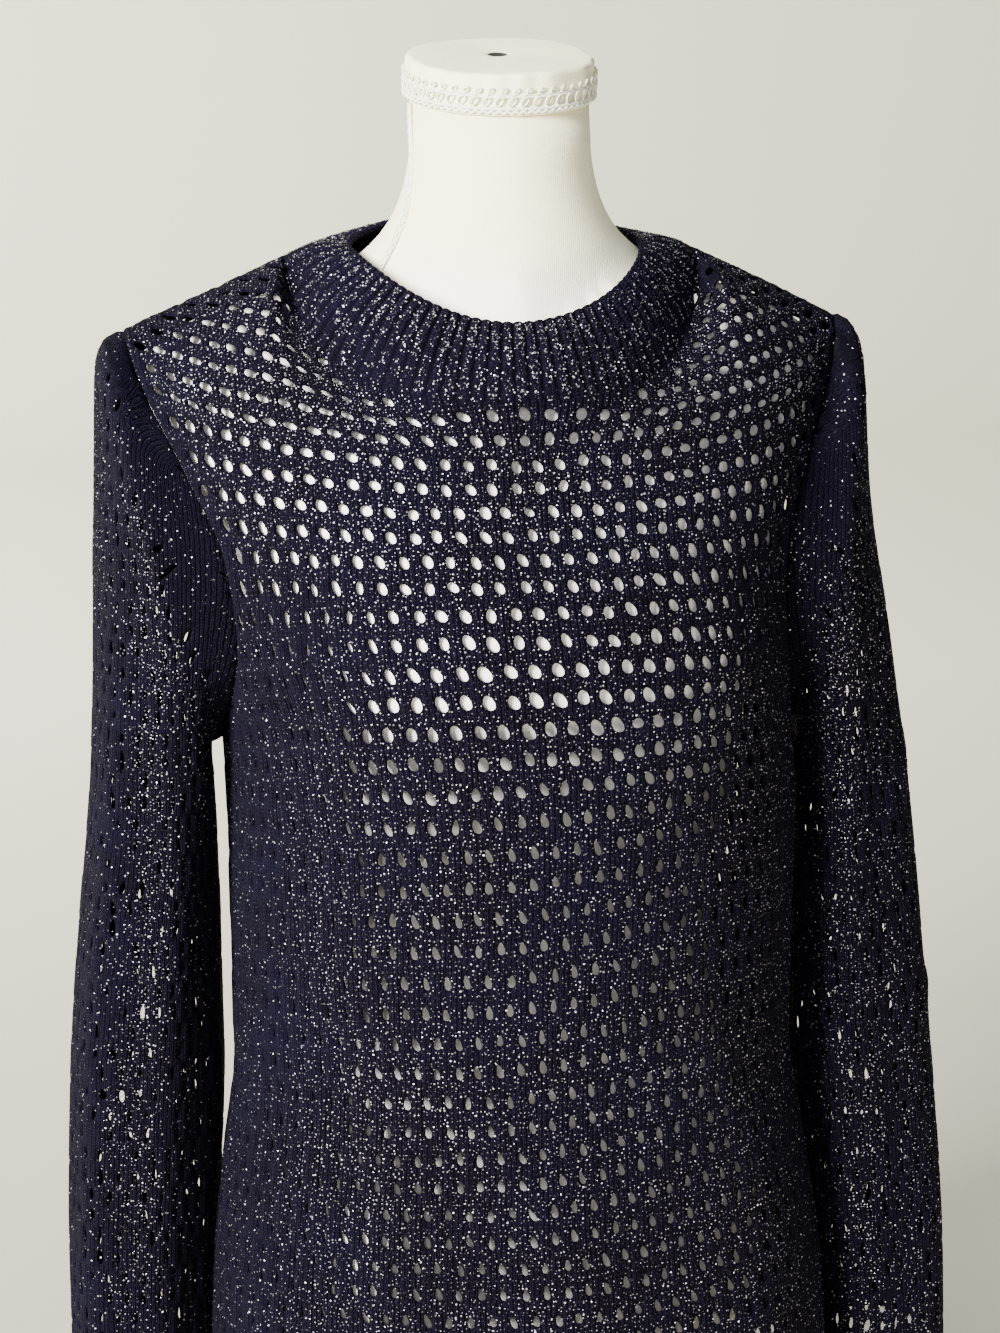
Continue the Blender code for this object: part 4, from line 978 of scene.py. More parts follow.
# one panel of the body: its net, and its flecks kept by chance where they are off the holes
def makePanel(name, part, node, seed):
    randomNumbers = np.random.default_rng(seed)
    maps = panelMaps(part)
    rows = int(np.searchsorted(levels, maps["yokeUp"] + maps["above"].max() + netLook["roomUp"])) + 1
    reach = math.ceil(netLook["cells"]) + netLook["spare"]
    columns = 2 * reach + 1

    def place(x, y):
        return panelPlace(part, maps, x, y)

    points, faces, pattern, _, kept = netMesh(
        netLook, (rows, columns), reach, randomNumbers, place,
        lambda u, v: bodyPoint(part, u, v), lambda u, v: bodyNormal(part, u, v),
        panelOpening(part, maps), lambda x: x, panelSeam)
    flat = np.stack([(pattern[:, 0] + reach) / (2 * reach), pattern[:, 1] / rows], -1)
    flat = flat * panelLook["mapShare"] + panelLook["mapStart"]
    net = meshPiece(name, points, faces, {"OFBake": flat, "netPlace": pattern})
    dress(net, clothKnit)
    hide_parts(node)
    # flecks all over the panel but not in its holes
    x, y = fleckPlaces(columns, rows, randomNumbers)
    x = x - reach - 0.5
    row = np.floor(y).astype(int)
    column = np.clip(np.round(x - rowShift(row)).astype(int) + reach, 0, columns - 1)
    u, v, inside, edge = place(x, y)
    thin = 1 - (panelLook["thin"] * easeStep(*panelLook["thinAcross"], np.abs(u))
                * (1 - easeStep(*panelLook["thinUp"], v)))
    thin = thin * (1.0 if part == "front" else panelLook["backShare"])
    keep = (inside & (edge > fleckLook["edgeClear"]) & ~inHole(kept, x, y, column, row)
            & (randomNumbers.random(len(x)) < thin))
    u, v = u[keep], v[keep]
    n = bodyNormal(part, u, v)
    spots = bodyPoint(part, u, v) + n * netLook["crown"] * netLook["plainRise"]
    return net, makeFlecks(name, spots, n, randomNumbers)


frontNet, frontFlecks = makePanel("frontNet", "front", "sweater_front", seed=31)
backNet, backFlecks = makePanel("backNet", "back", "sweater_back", seed=47)
print("front and back:", len(frontNet.data.polygons), len(backNet.data.polygons),
      len(frontFlecks.data.polygons), len(backFlecks.data.polygons))

sleeveLook = dict(netLook, around=28, cellPitch=0.0112, rowPitch=0.0128, holeHalf=0.0012,
                  holeTall=0.0040, rimWide=0.0009, wobble=0.22, shut=0.12, capEnd=0.05,
                  hangFrom=0.32, lean=0.0, hangFade=(0.40, 0.75), wide=0.60, wideMore=0.65, tall=0.75,
                  tallMore=0.35, taper=0.2, capShine=0.22, capShineFade=(0.20, 0.34), leastShine=0.09)
# bands of a sleeve where its flecks are placed thick or thin by where light makes them glint, a
# painted glint pattern: degrees from the outer line, width, share
sleeveShine = {-1: ((76, 24, 0.60), (120, 14, 0.10), (250, 40, 0.45)),
               1: ((60, 26, 0.40), (104, 28, 0.60), (262, 40, 0.45))}


# wales of a sleeve's cap hang straight down: their places come from the section below it
def capPlaces(side, maps, pattern, points, normals):
    around = sleeveLook["around"]
    ring = np.linspace(0, 2 * math.pi, mapSteps["around"] + 1)
    section = sleevePoint(side, ring, np.full_like(ring, sleeveLook["hangFrom"]))
    middle = section[:-1].mean(0)
    way = np.unwrap(np.arctan2(section[:, 1] - middle[1], section[:, 0] - middle[0]))
    order = np.argsort(way)
    at = np.arctan2(points[:, 1] - middle[1], points[:, 0] - middle[0])
    at = way.min() + np.mod(at - way.min(), 2 * math.pi)
    hung = np.interp(at, way[order], ring[order]) / (2 * math.pi) * around
    _, s, _, _ = sleevePlace(maps, pattern[:, 0], pattern[:, 1])
    share = 1 - easeStep(sleeveLook["capEnd"], sleeveLook["hangFrom"], s)
    share = share * (1 - easeStep(*sleeveLook["hangFade"], normals[:, 2]))
    turn = np.mod(hung - pattern[:, 0] + around / 2, around) - around / 2
    return np.stack([pattern[:, 0] + turn * share, pattern[:, 1]], -1)


# one sleeve: its net, mostly closed, and its flecks
def makeSleeve(name, side, node, seed):
    randomNumbers = np.random.default_rng(seed)
    maps = sleeveMaps(side)
    around = sleeveLook["around"]
    rows = int(np.ceil(maps["length"].max() / sleeveLook["rowPitch"])) + 1

    def place(x, y):
        return sleevePlace(maps, x, y)

    def opening(x, y):
        some = randomNumbers.random(x.shape)
        _, s, _, _ = place(x, y)
        shut = (some < sleeveLook["shut"]) | (s < sleeveLook["capEnd"])
        wide = sleeveLook["holeHalf"] * (sleeveLook["wide"] + sleeveLook["wideMore"] * some)
        tall = sleeveLook["holeTall"] * (sleeveLook["tall"] + sleeveLook["tallMore"] * some)
        return np.where(shut, -1.0, wide), tall, np.full_like(x, sleeveLook["taper"])

    points, faces, pattern, normals, _ = netMesh(
        sleeveLook, (rows, around), 0, randomNumbers, place,
        lambda a, s: sleevePoint(side, a, s), lambda a, s: sleeveNormal(side, a, s),
        opening, lambda x: np.mod(x, around), lambda a, s: 1.0)
    net = meshPiece(name, points, faces, {"netPlace": capPlaces(side, maps, pattern, points, normals)})
    dress(net, clothKnit)
    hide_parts(node)
    x, y = fleckPlaces(around, rows, randomNumbers)
    angle, s, inside, edge = place(x, y)
    # painted glints: flecks thicker in the bands where light makes them glint, thinner where shade hides them
    shine = np.zeros_like(angle)
    for degrees, wide, share in sleeveShine[side]:
        off = angleOff(angle, degrees)
        shine = np.maximum(shine, share * np.exp(-(off / math.radians(wide)) ** 2))
    shine = np.maximum(shine, sleeveLook["capShine"] * (1 - easeStep(*sleeveLook["capShineFade"], s)))
    keep = (inside & (edge > fleckLook["edgeClear"])
            & (randomNumbers.random(len(x)) < sleeveLook["leastShine"] + shine))
    angle, s = angle[keep], s[keep]
    n = sleeveNormal(side, angle, s)
    spots = sleevePoint(side, angle, s) + n * sleeveLook["crown"] * sleeveLook["plainRise"]
    return net, makeFlecks(name, spots, n, randomNumbers)


leftNet, leftFlecks = makeSleeve("leftSleeveNet", 1, "sleeve_left", seed=5)
rightNet, rightFlecks = makeSleeve("rightSleeveNet", -1, "sleeve_right", seed=6)
print("sleeves:", len(leftNet.data.polygons), len(rightNet.data.polygons), len(leftFlecks.data.polygons))

bandLook = dict(ribs=90, perRib=8, rows=20, turnRows=7, rise=0.0013, riseEnd=0.70, round=0.8,
                turnRadius=0.0011, turnDown=0.009, turnSteps=(0.35, 0.7, 1.0), course=0.0020,
                flecks=6200, fleckSpread=0.22, fleckEnd=0.97, seed=3)


# height of the ribs round the band: a cosine's size raised to a power that rounds it
def ribShape(phi):
    return np.abs(np.cos(phi * bandLook["ribs"] / 2)) ** bandLook["round"]


# ribbed neckband: rounded ribs over the band, then rolled in at the free edge
def makeBand(name, node):
    randomNumbers = np.random.default_rng(bandLook["seed"])
    around = bandLook["ribs"] * bandLook["perRib"]
    phi = np.linspace(0, 2 * math.pi, around, endpoint=False)
    t = np.linspace(0, 1, bandLook["rows"])
    pp, tt = np.meshgrid(phi, t)
    outer = bandPoint(pp, tt)
    n = bandNormal(pp, tt)
    rib = ribShape(pp)
    lift = bandLook["rise"] * rib * easeStep(0, bandLook["riseEnd"], tt)
    points = outer + n * lift[..., None]
    # the free edge turns in and down behind the band
    up = unitOf(outer[-1] - outer[-2])
    nTop = n[-1]
    turned = np.linspace(0, math.pi, bandLook["turnRows"])[1:]
    radius = bandLook["turnRadius"]
    centre = outer[-1] - nTop * radius
    ribTop = rib[-1][:, None] * bandLook["rise"]
    roll = [centre + nTop * (radius + ribTop * (1 + math.cos(a)) / 2) * math.cos(a)
            + up * (radius + ribTop * 0.5) * math.sin(a) for a in turned]
    inner = [roll[-1] - up * bandLook["turnDown"] * k for k in bandLook["turnSteps"]]
    points = np.concatenate([points, np.array(roll), np.array(inner)])
    rows = len(points)
    length = clothLengths(points, 0)
    faces = ringQuads(rows, around)
    flat = points.reshape(-1, 3)
    outward = np.concatenate([n, np.repeat(n[-1:], rows - len(n), 0)]).reshape(-1, 3)
    count = bandLook["rows"] * around
    main = faces[(faces < count).all(1)]
    if (facesOut(flat, main, outward) != main).any():
        faces = faces[:, ::-1]
    place = np.stack([np.broadcast_to(phi / (2 * math.pi) * bandLook["ribs"] + 0.5, (rows, around)),
                      length / bandLook["course"]], -1).reshape(-1, 2)
    band = meshPiece(name, flat, faces, {"netPlace": place})
    dress(band, knitMaterial("bandKnit", 1.0, 1.0))
    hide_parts(node)
    count = bandLook["flecks"]
    ribOf = np.floor(randomNumbers.random(count) * bandLook["ribs"])
    phi = ribOf + randomNumbers.normal(size=count) * bandLook["fleckSpread"]
    phi = phi / bandLook["ribs"] * 2 * math.pi
    t = randomNumbers.random(count) * bandLook["fleckEnd"]
    n = bandNormal(phi, t)
    rib = ribShape(phi) * easeStep(0, bandLook["riseEnd"], t)
    spots = bandPoint(phi, t) + n * (rib * bandLook["rise"])[:, None]
    return band, makeFlecks(name, spots, n, randomNumbers)


bandKnit, bandFlecks = makeBand("neckbandRib", "neckband")
print("neckband:", len(bandKnit.data.polygons))

# dress form: height, half width, front depth, back depth, squareness
formRows = (
    (0.1950, 0.1500, 0.0980, 0.0870, 2.2), (0.2010, 0.1535, 0.1010, 0.0900, 2.2),
    (0.2200, 0.1580, 0.1035, 0.0915, 2.2),
    (0.2700, 0.1600, 0.1050, 0.0900, 2.2), (0.3400, 0.1490, 0.1000, 0.0800, 2.2),
    (0.4000, 0.1310, 0.0910, 0.0700, 2.2), (0.4500, 0.1220, 0.0870, 0.0660, 2.2),
    (0.5000, 0.1290, 0.0960, 0.0720, 2.2), (0.5500, 0.1390, 0.1180, 0.0830, 2.2),
    (0.5900, 0.1430, 0.1310, 0.0930, 2.2), (0.6200, 0.1460, 0.1362, 0.0995, 2.2),
    (0.6500, 0.1460, 0.1330, 0.1030, 2.1), (0.6900, 0.1480, 0.1265, 0.1055, 2.0),
    (0.7300, 0.1550, 0.1165, 0.1040, 1.85), (0.7600, 0.1610, 0.1040, 0.1005, 1.7),
    (0.7800, 0.1580, 0.0905, 0.0960, 1.45), (0.8000, 0.1390, 0.0780, 0.0880, 1.3),
    (0.8150, 0.1140, 0.0690, 0.0780, 1.3), (0.8270, 0.0920, 0.0640, 0.0710, 1.4),
    (0.8380, 0.0755, 0.0620, 0.0640, 1.7), (0.8500, 0.0640, 0.0570, 0.0590, 2.0),
    (0.8650, 0.0565, 0.0540, 0.0560, 2.0), (0.8800, 0.0525, 0.0525, 0.0530, 2.0),
    (0.8950, 0.0508, 0.0510, 0.0512, 2.0),
)
formLook = dict(around=144, inset=0.0003, capRadius=0.0530, capHeight=0.0230, step=0.0065,
                capTilt=math.radians(7.5), capBase=0.9210, neckRadius=0.0505, gap=0.0003,
                swell=0.050, rest=0.0034, restHigh=0.0046, highFrom=0.720, highFull=0.775,
                swellFrom=0.585, swellFull=0.625, swellLast=0.796, swellTop=0.826, blurs=3,
                plateFrom=0.660, plateFull=0.720, plateIn=0.002, clothColumns=121, clothRows=160,
                clothFrom=0.5, pastMiddle=0.0015, spill=0.0004)


# insides of the panels and the neckband, less the gap, rising from row to row
def clothInsides():
    columns, rows = formLook["clothColumns"], formLook["clothRows"]
    uu, vv = np.meshgrid(np.linspace(-1, 1, columns), np.linspace(formLook["clothFrom"], 1, rows))
    pp, tt = np.meshgrid(np.linspace(-math.pi / 2, math.pi / 2, columns), np.linspace(0, 1, rows))
    out = {}
    for part, start in (("front", 0.0), ("back", math.pi)):
        panel = bodyPoint(part, uu, vv)
        collar = bandPoint(pp + start, tt)
        high = easeStep(formLook["highFrom"], formLook["highFull"], panel[..., 2:])
        panel = panel - bodyNormal(part, uu, vv) * (formLook["rest"] + formLook["restHigh"] * high)
        collar = collar - bandNormal(pp + start, tt) * (formLook["rest"] + formLook["restHigh"])
        out[part] = np.concatenate([panel, collar], 1)
    return out


# distance from the axis to the cloth's inside at a height, or near where there is no cloth
def clothReach(inside, part, z, angle, near):
    own = np.abs(angle) if part == "front" else math.pi - np.abs(angle)
    toOwn = -1.0 if part == "front" else 1.0
    out = near.copy()
    grid = inside[part]
    for side in (-1, 1):
        cols = [k for k in range(grid.shape[1]) if side * grid[0, k, 0] >= -formLook["pastMiddle"]
                and grid[0, k, 2] < z < grid[-1, k, 2]]
        if len(cols) < 2:
            continue
        x = np.array([np.interp(z, grid[:, k, 2], grid[:, k, 0]) for k in cols])
        y = np.array([np.interp(z, grid[:, k, 2], grid[:, k, 1]) for k in cols])
        turned = np.arctan2(side * x, toOwn * y)
        order = np.argsort(turned)
        reach = np.interp(own, turned[order], np.hypot(x, y)[order])
        past = easeStep(formLook["plateFrom"], formLook["plateFull"], z) * (own > turned.max())
        reach = np.where(own > turned.max(), near + (reach - formLook["plateIn"] - near) * past, reach)
        out = np.where((own >= turned.min()) & (side * angle >= 0), reach, out)
    return out


# largest radius of the form at a height: a rounded oblong, swollen to the cloth where it can be
def formLimit(inside, z, angle):
    zs = [row[0] for row in formRows]
    half, front, back, power = (smoothTable(zs, [row[i] for row in formRows], z) for i in (1, 2, 3, 4))
    c, s = np.cos(angle), np.sin(angle)
    x = half * np.sign(s) * np.abs(s) ** (2 / power)
    y = -np.where(c > 0, front, back) * np.sign(c) * np.abs(c) ** (2 / power)
    turned = np.arctan2(x, -y)
    order = np.argsort(turned)
    plain = np.interp(angle, turned[order], np.hypot(x, y)[order], period=2 * math.pi)
    if not formLook["swellFrom"] < z < formLook["swellTop"]:
        return plain
    swell = (formLook["swell"] * easeStep(formLook["swellFrom"], formLook["swellFull"], z)
             * (1 - easeStep(formLook["swellLast"], formLook["swellTop"], z)))
    reach = np.where(np.abs(angle) < math.pi / 2, clothReach(inside, "front", z, angle, plain),
                     clothReach(inside, "back", z, angle, plain))
    return np.minimum(reach, plain + swell)


# form surface as radii by height and angle, blurred a little under its limit
def formRadii(heights, angle):
    inside = clothInsides()
    limit = np.array([formLimit(inside, z, angle) for z in heights])
    radius = limit.copy()
    for _ in range(formLook["blurs"]):
        around = (np.roll(radius, 1, 1) + 2 * radius + np.roll(radius, -1, 1)) / 4
        tall = around.copy()
        tall[1:-1] = (around[:-2] + 2 * around[1:-1] + around[2:]) / 4
        radius = np.minimum(tall, limit + formLook["spill"])
    return radius - formLook["inset"]


# form points at an angle and height, read from the radii
def formPoint(angle, z):
    place = np.mod(angle - formAngles[0], 2 * math.pi) / (formAngles[1] - formAngles[0])
    row = np.interp(z, formHeights, np.arange(len(formHeights)))
    r = gridAt(np.concatenate([formGrid, formGrid[:, :1]], 1), row, place)
    return np.stack([r * np.sin(angle), -r * np.cos(angle), z + 0 * angle], -1)


# ring of a turned profile, tipped forward about the cap's height
def tippedRing(radius, z, angle):
    tilt = formLook["capTilt"]
    pivot = formLook["capBase"] + formLook["capHeight"]
    x = radius * np.sin(angle)
    y = -radius * np.cos(angle)
    h = z - pivot + 0 * angle
    return np.stack([x, y * math.cos(tilt) - h * math.sin(tilt),
                     y * math.sin(tilt) + h * math.cos(tilt) + pivot], -1)


# closed body through rings of points, ends closed to a middle point
def ringBody(name, rings):
    rows, around = rings.shape[:2]
    tris = splitQuads(ringQuads(rows, around))
    points = np.concatenate([rings.reshape(-1, 3), rings[0].mean(0)[None], rings[-1].mean(0)[None]])
    k = np.arange(around)
    k2 = (k + 1) % around
    low, high = rows * around, rows * around + 1
    top = (rows - 1) * around
    tris = np.concatenate([tris, np.stack([k2, k, 0 * k + low], -1),
                           np.stack([top + k, top + k2, 0 * k + high], -1)])
    return meshPiece(name, points, outwardTris(points, tris, 0))


canvasLook = dict(thread=260.0, threadBend=1.2, weave=0.5, cloudScale=9, fineScale=700,
                  clouds=(0.35, 0.70), pale=(0.95, 0.90, 0.62), warm=(0.92, 0.86, 0.59),
                  fine=(0.45, 0.75, 0.0, 0.25), deep=(0.76, 0.71, 0.55),
                  chest=(0.94, 0.925, 0.90), chestHigh=(0.85, 0.79),
                  shade=(0.30, 0.295, 0.30), shadeHigh=(0.60, 0.50, 0.0, 0.55),
                  bump=(0.5, 0.0004), wrinkle=(0.35, 0.004),
                  shader={"Roughness": 0.9, "Specular IOR Level": 0.2, "Sheen Weight": 0.1})


# canvas: fine crossed threads, faint warm clouds and soft wrinkles, whiter below the neck, and painted
# shade that darkens it below the bust
def canvasMaterial(name):
    material, tree, place = newMaterial(name)
    clouds = noiseAt(tree, place, canvasLook["cloudScale"], 4)
    fine = noiseAt(tree, place, canvasLook["fineScale"], 2)
    weaving = {"Scale": canvasLook["thread"], "Distortion": canvasLook["threadBend"]}
    threads = [waveAt(tree, place, dict(bands_direction=way), weaving) for way in "ZX"]
    weave = mathNode(tree, "MAXIMUM", *threads)
    colour = colourMix(tree, rangeNode(tree, clouds, *canvasLook["clouds"]), canvasLook["pale"],
                       canvasLook["warm"])
    colour = colourMix(tree, rangeNode(tree, fine, *canvasLook["fine"]), colour, canvasLook["deep"])
    high = partsOf(tree, place)["Z"]
    colour = colourMix(tree, rangeNode(tree, high, *canvasLook["chestHigh"]), colour, canvasLook["chest"])
    # painted shade: the canvas darkens below the bust, where the sweater shades it
    colour = colourMix(tree, rangeNode(tree, high, *canvasLook["shadeHigh"]), colour, canvasLook["shade"])
    tall = mathNode(tree, "ADD", mathNode(tree, "MULTIPLY", weave, canvasLook["weave"]), fine)
    bump = bumpOf(tree, tall, *canvasLook["bump"])
    setShader(material, {"Base Color": colour, "Normal": bumpOf(tree, clouds, *canvasLook["wrinkle"], bump),
                         **canvasLook["shader"]})
    return material


formAngles = np.linspace(-math.pi, math.pi, formLook["around"], endpoint=False)
formHeights = np.arange(formRows[0][0], formRows[-1][0], formLook["step"])
formGrid = formRadii(formHeights, formAngles)
angle = formAngles
rings = [np.stack([r * np.sin(angle), -r * np.cos(angle), np.full_like(angle, z)], -1)
         for r, z in zip(formGrid, formHeights)]
rings.append(tippedRing(formLook["neckRadius"] - formLook["inset"],
                        formLook["capBase"] - formLook["gap"], angle))
formBody = dress(ringBody("formBody", np.array(rings)), canvasMaterial("formCanvas"))
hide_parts("form_torso")

# neck cap: a canvas-covered disc with a rounded edge, its wall a little inside the solid's, puckered
# round the edge, with a hole drawn into its top and painted shade inside the hole
capRadius, capBase, capHeight = formLook["capRadius"], formLook["capBase"], formLook["capHeight"]
capLook = dict(foot=0.0008, inset=0.0004, wallShares=(0.3, 0.6), edge=0.0028, edgeSteps=7, drop=0.0001,
               topRadii=(0.046, 0.038, 0.028, 0.018, 0.010, 0.0055), holeY=0.0085, holeFade=(0.004, 0.040),
               holeSteps=((0.0046, 0.0008), (0.0042, 0.004), (0.0040, 0.014)), holeShadeRadius=0.0062,
               holeShadeEdge=0.84, holeShadeColour=(0.012, 0.011, 0.010), pucker=0.0005, puckers=17, bend=1.5,
               bends=5, puckerFade=(0.030, 0.052), swell=0.0006, swells=3, swellTurn=0.7,
               swellFade=(0.006, 0.03), swellFrom=0.018)
capTop, capWall = capBase + capHeight, capRadius - capLook["inset"]
arc = np.linspace(0, math.pi / 2, capLook["edgeSteps"])
capProfile = [(capRadius - capLook["foot"], capBase), (capWall, capBase + capLook["foot"])]
capProfile += [(capWall, capBase + capHeight * k) for k in capLook["wallShares"]]
capProfile += [(capWall - capLook["edge"] * (1 - math.cos(a)), capTop - capLook["edge"] * (1 - math.sin(a)))
               for a in arc]
capProfile += [(r, capTop - capLook["drop"]) for r in capLook["topRadii"]]
capProfile += [(r, capTop - drop) for r, drop in capLook["holeSteps"]]
capRings = []
for r, z in capProfile:
    ring = tippedRing(r, z, angle)
    ring[:, 1] += capLook["holeY"] * (1 - easeStep(*capLook["holeFade"], r))
    wave = np.sin(capLook["puckers"] * angle + capLook["bend"] * np.sin(capLook["bends"] * angle))
    pucker = capLook["pucker"] * wave * easeStep(*capLook["puckerFade"], r)
    ring += np.stack([np.sin(angle) * pucker, -np.cos(angle) * pucker, 0 * angle], -1)
    swell = capLook["swell"] * easeStep(*capLook["swellFade"], r) * (z > capBase + capLook["swellFrom"])
    ring[:, 2] += swell * np.sin(capLook["swells"] * angle + capLook["swellTurn"])
    capRings.append(ring)
capCanvas = canvasMaterial("capCanvas")
# the hole's inside gets painted shade: a dark circle round its middle, seen from above
tree = capCanvas.node_tree
shader = tree.nodes["Principled BSDF"]
flatPlace = addNode(tree, "ShaderNodeVectorMath", dict(operation="MULTIPLY"), {1: (1, 1, 0)},
                    addNode(tree, "ShaderNodeTexCoord").outputs["Object"])
distance = addNode(tree, "ShaderNodeVectorMath", dict(operation="DISTANCE"), {1: (0, capLook["holeY"], 0)},
                   flatPlace.outputs[0])
inside = rangeNode(tree, distance.outputs["Value"], capLook["holeShadeRadius"],
                   capLook["holeShadeRadius"] * capLook["holeShadeEdge"])
canvasColour = shader.inputs["Base Color"].links[0].from_socket
setShader(capCanvas, {"Base Color": colourMix(tree, inside, canvasColour, capLook["holeShadeColour"])})
formCap = dress(ringBody("formCapCover", np.array(capRings)), capCanvas)
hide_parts("form_cap")
print("form:", len(formBody.data.polygons), len(formCap.data.polygons))


# round cord along a path of points, as one closed or open tube with closed ends
def cordTube(path, radius, sides, closed):
    count = len(path)
    ahead = np.roll(path, -1, axis=0) - np.roll(path, 1, axis=0) if closed else np.gradient(path, axis=0)
    ahead = unitOf(ahead)
    side = unitOf(np.cross(ahead, unitOf(path * (1, 1, 0) + braidLook["offAxis"])))
    other = np.cross(side, ahead)
    a = np.linspace(0, 2 * math.pi, sides, endpoint=False)
    ring = path[:, None] + radius * (side[:, None] * np.cos(a)[None, :, None]
                                     + other[:, None] * np.sin(a)[None, :, None])
    points = ring.reshape(-1, 3)
    tris = splitQuads(ringQuads(count, sides, closed))
    if not closed:
        start, end = len(points), len(points) + 1
        points = np.concatenate([points, path[:1], path[-1:]])
        kk = np.arange(sides)
        last = (count - 1) * sides
        tris = np.concatenate([tris, np.stack([(kk + 1) % sides, kk, 0 * kk + start], -1),
                               np.stack([last + kk, last + (kk + 1) % sides, 0 * kk + end], -1)])
    return points, outwardTris(points, tris, path.mean(0))


# several tubes as one mesh
def joinMeshes(parts):
    offset = np.cumsum([0] + [len(p) for p, _ in parts[:-1]])
    return (np.concatenate([p for p, _ in parts]),
            np.concatenate([f + o for (_, f), o in zip(parts, offset)]))


braidLook = dict(scrolls=48, steps=22, sides=6, cord=0.00060, proud=0.0010, lean=0.35, wave=0.0005,
                 waveTurn=0.8, foot=76, footDrop=0.0196, footRise=0.0014, footCord=0.0008,
                 plainIn=0.0002, strands={"Scale": 320.0, "Distortion": 2.0}, cloudScale=260,
                 clouds=(0.35, 0.7), pale=(0.90, 0.885, 0.76), deep=(0.72, 0.70, 0.58),
                 bump=(0.6, 0.0003), roughness=0.7, offAxis=1e-9)
# rows of the braid: drop from the cap's top, loop half width, half height, share turned
braidRows = ((0.0094, 0.0029, 0.0020, 0.0), (0.0154, 0.0036, 0.0031, 0.35))
# plain cords of the braid: drop from the cap's top, radius
plainCords = ((0.0122, 0.0006), (0.0188, 0.0008))


# braid round the cap: a row of small running loops over a row of arches, on a scalloped foot;
# each row is a curve of x = t + a sin(nt), z = b cos(nt), sheared so that it leans
def capBraid():
    t = np.linspace(0, 2 * math.pi, braidLook["scrolls"] * braidLook["steps"], endpoint=False)
    radius = capRadius + braidLook["proud"]
    cords = []
    for drop, a, b, phase in braidRows:
        turned = braidLook["scrolls"] * t + phase * 2 * math.pi
        high = b * np.cos(turned)
        along = t - (a * np.sin(turned) - braidLook["lean"] * high) / radius
        out = radius + braidLook["wave"] * np.sin(turned + braidLook["waveTurn"])
        cords.append((tippedRing(out, capTop - drop + high, along), braidLook["cord"]))
    for drop, thick in plainCords:
        cords.append((tippedRing(radius - braidLook["plainIn"], capTop - drop, t), thick))
    scallop = braidLook["footRise"] * np.abs(np.sin(braidLook["foot"] * t / 2))
    cords.append((tippedRing(radius, capTop - braidLook["footDrop"] - scallop, t), braidLook["footCord"]))
    return joinMeshes([cordTube(path, thick, braidLook["sides"], True) for path, thick in cords])


# cotton cord: twisted strands along the braid
def braidMaterial(name):
    material, tree, place = newMaterial(name)
    strands = waveAt(tree, place, dict(bands_direction="DIAGONAL"), braidLook["strands"])
    clouds = rangeNode(tree, noiseAt(tree, place, braidLook["cloudScale"], 2), *braidLook["clouds"])
    setShader(material, {"Base Color": colourMix(tree, clouds, braidLook["pale"], braidLook["deep"]),
                         "Normal": bumpOf(tree, strands, *braidLook["bump"]),
                         "Roughness": braidLook["roughness"]})
    return material


braidCotton = braidMaterial("braidCotton")
dress(meshPiece("capBraid", *capBraid()), braidCotton)

# narrow braid down the garment-right side of the neck, swinging forward toward the shoulder
sideLook = dict(high=0.918, low=0.800, steps=260, turn=88, swing=17, swingEnd=0.840, up=0.6, pitch=0.0105,
                sway=0.0018, out=0.0010, cord=0.0008, edgeAt=0.0027, edgeOut=0.0006, edgeCord=0.0006)
z = np.linspace(sideLook["high"], sideLook["low"], sideLook["steps"])
turn = -np.radians(sideLook["turn"] - sideLook["swing"] * easeStep(sideLook["high"], sideLook["swingEnd"], z))
side = formPoint(turn, z)
out = unitOf(np.stack([np.sin(turn), -np.cos(turn), sideLook["up"] + 0 * z], -1))
along = np.stack([np.cos(turn), np.sin(turn), 0 * z], -1)
parts = []
for phase in (0.0, math.pi):
    sway = sideLook["sway"] * np.sin((z - sideLook["low"]) * 2 * math.pi / sideLook["pitch"] + phase)
    parts.append(cordTube(side + out * sideLook["out"] + along * sway[:, None], sideLook["cord"],
                          braidLook["sides"], False))
for shift in (-sideLook["edgeAt"], sideLook["edgeAt"]):
    parts.append(cordTube(side + out * sideLook["edgeOut"] + along * shift, sideLook["edgeCord"],
                          braidLook["sides"], False))
dress(meshPiece("sideBraid", *joinMeshes(parts)), braidCotton)
print("braids made")


woodLook = dict(grain={"Scale": 18.0, "Distortion": 5.0, "Detail": 3.0, "Detail Scale": 2.0},
                pale=(0.30, 0.18, 0.10), warm=(0.42, 0.28, 0.16), deep=(0.16, 0.09, 0.05), poreScale=240,
                pores=(0.5, 0.75, 0.0, 0.5), roughness=(0.3, 0.7, 0.35, 0.55), bump=(0.25, 0.0004))


# wood: long rings of grain with fine pores
def woodMaterial(name):
    material, tree, place = newMaterial(name)
    rings = waveAt(tree, place, dict(wave_type="RINGS", rings_direction="Y"), woodLook["grain"])
    pores = noiseAt(tree, place, woodLook["poreScale"], 3)
    colour = colourMix(tree, rings, woodLook["pale"], woodLook["warm"])
    colour = colourMix(tree, rangeNode(tree, pores, *woodLook["pores"]), colour, woodLook["deep"])
    setShader(material, {"Base Color": colour, "Normal": bumpOf(tree, pores, *woodLook["bump"]),
                         "Roughness": rangeNode(tree, pores, *woodLook["roughness"])})
    return material


standWood = woodMaterial("standWood")
for nodeName in ("stand_pole", "stand_base"):
    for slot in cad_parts[nodeName].material_slots:
        slot.material = standWood
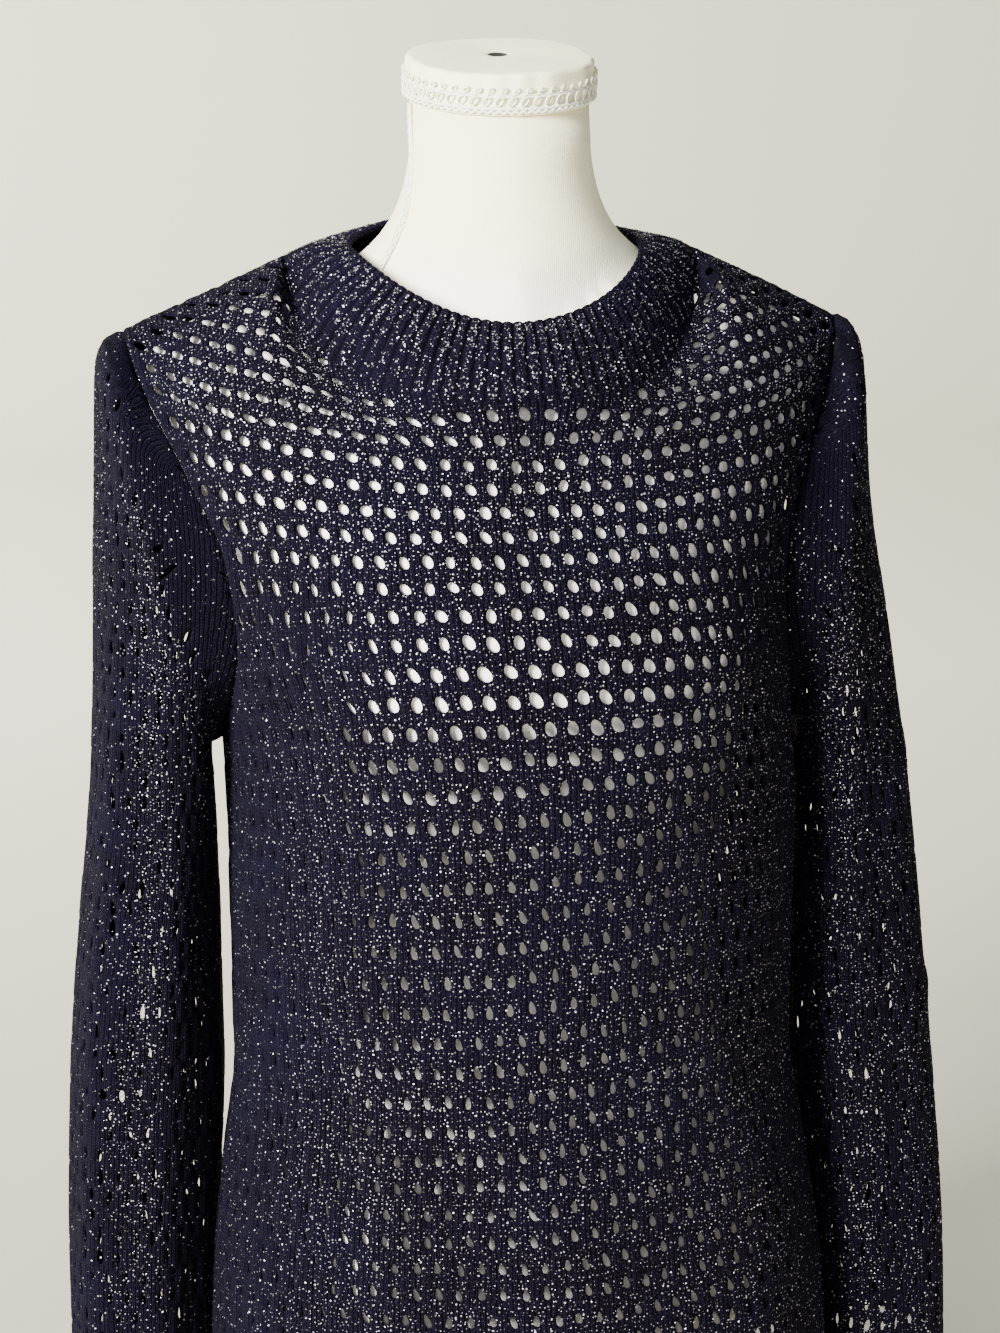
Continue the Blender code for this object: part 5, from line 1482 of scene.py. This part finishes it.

# plain pale floor that sweeps up into the backdrop, both stage, with painted shade that darkens it
# near the camera and painted light that lifts the garment's cast shadow near it on the right
stageLook = dict(nearShadeTone=(0.42, 0.41, 0.33), farTone=(0.78, 0.77, 0.62), shadowLiftTone=(0.70, 0.685, 0.56),
                 nearY=0.4, farY=2.3, shadowLiftX=(0.0, 0.6), shadowLiftY=(1.05, 0.45), roughness=0.95,
                 wallY=4.7, bend=0.8, steps=12, half=5.0, top=3.6, down=0.0005)
arc = np.linspace(0, math.pi / 2, stageLook["steps"])
bendY = stageLook["wallY"] - stageLook["bend"] + stageLook["bend"] * np.sin(arc)
profileY = np.concatenate([[-stageLook["half"]], bendY, [stageLook["wallY"]]])
profileZ = np.concatenate([[0.0], stageLook["bend"] * (1 - np.cos(arc)), [stageLook["top"]]])
yy, xx = np.meshgrid(profileY, [-stageLook["half"], stageLook["half"]], indexing="ij")
zz = np.broadcast_to(profileZ[:, None], yy.shape)
i = np.arange(len(profileY) - 1) * 2
sweep = meshPiece("studioSweep", np.stack([xx, yy, zz - stageLook["down"]], -1).reshape(-1, 3),
                  np.stack([i, i + 1, i + 3, i + 2], -1))
material, tree, place = newMaterial("studioPaper")
own = partsOf(tree, place)
# painted shade: the paper darkens toward the camera
far = rangeNode(tree, own["Y"], stageLook["nearY"], stageLook["farY"])
# painted light: a lighter patch on the right near the camera, over the garment's cast shadow
right = mathNode(tree, "MULTIPLY", rangeNode(tree, own["X"], *stageLook["shadowLiftX"]),
                 rangeNode(tree, own["Y"], *stageLook["shadowLiftY"]))
tone = colourMix(tree, far, stageLook["nearShadeTone"], stageLook["farTone"])
setShader(material, {"Base Color": colourMix(tree, right, tone, stageLook["shadowLiftTone"]),
                     "Roughness": stageLook["roughness"]})
sweep.data.materials.append(material)

# soft light from the front left, a weak fill, a lit backdrop and a pale world
# lights: name, place, width and height, power, colour, place aimed at
garmentMiddle = (0.0, 0.0, 0.65)
lights = (
    ("keyLight", (-2.05, -1.85, 1.75), 1.0, 540.0, (1.0, 0.985, 0.91), garmentMiddle),
    ("wallLight", (-1.9, 2.2, 2.9), 1.4, 265.0, (1.0, 1.0, 0.96), (-0.5, 4.7, 0.6)),
    ("fillLight", (2.2, -1.6, 1.3), 1.6, 13.0, (0.86, 0.88, 1.0), garmentMiddle),
    ("frontLight", (-0.6, -2.6, 1.35), 0.7, 20.0, (1.0, 0.99, 0.95), garmentMiddle),
    ("topLight", (0.3, 0.6, 2.8), 2.0, 8.0, (1.0, 1.0, 1.0), garmentMiddle),
)
worldLook = dict(colour=(0.95, 0.96, 1.0, 1), strength=0.24)
for name, where, size, power, colour, target in lights:
    data = bpy.data.lights.new(name, "AREA")
    data.shape = "RECTANGLE"
    data.size = data.size_y = size
    data.energy = power
    data.color = colour
    lamp = bpy.data.objects.new(name, data)
    lamp.location = where
    aim = np.array(target) - np.array(where)
    lamp.rotation_euler = (math.atan2(math.hypot(aim[0], aim[1]), -aim[2]), 0,
                           math.atan2(aim[1], aim[0]) - math.pi / 2)
    bpy.context.scene.collection.objects.link(lamp)
world = bpy.data.worlds.new("studioWorld")
world.use_nodes = True
world.node_tree.nodes["Background"].inputs["Color"].default_value = worldLook["colour"]
world.node_tree.nodes["Background"].inputs["Strength"].default_value = worldLook["strength"]
bpy.context.scene.world = world
print("stage and lights ready")
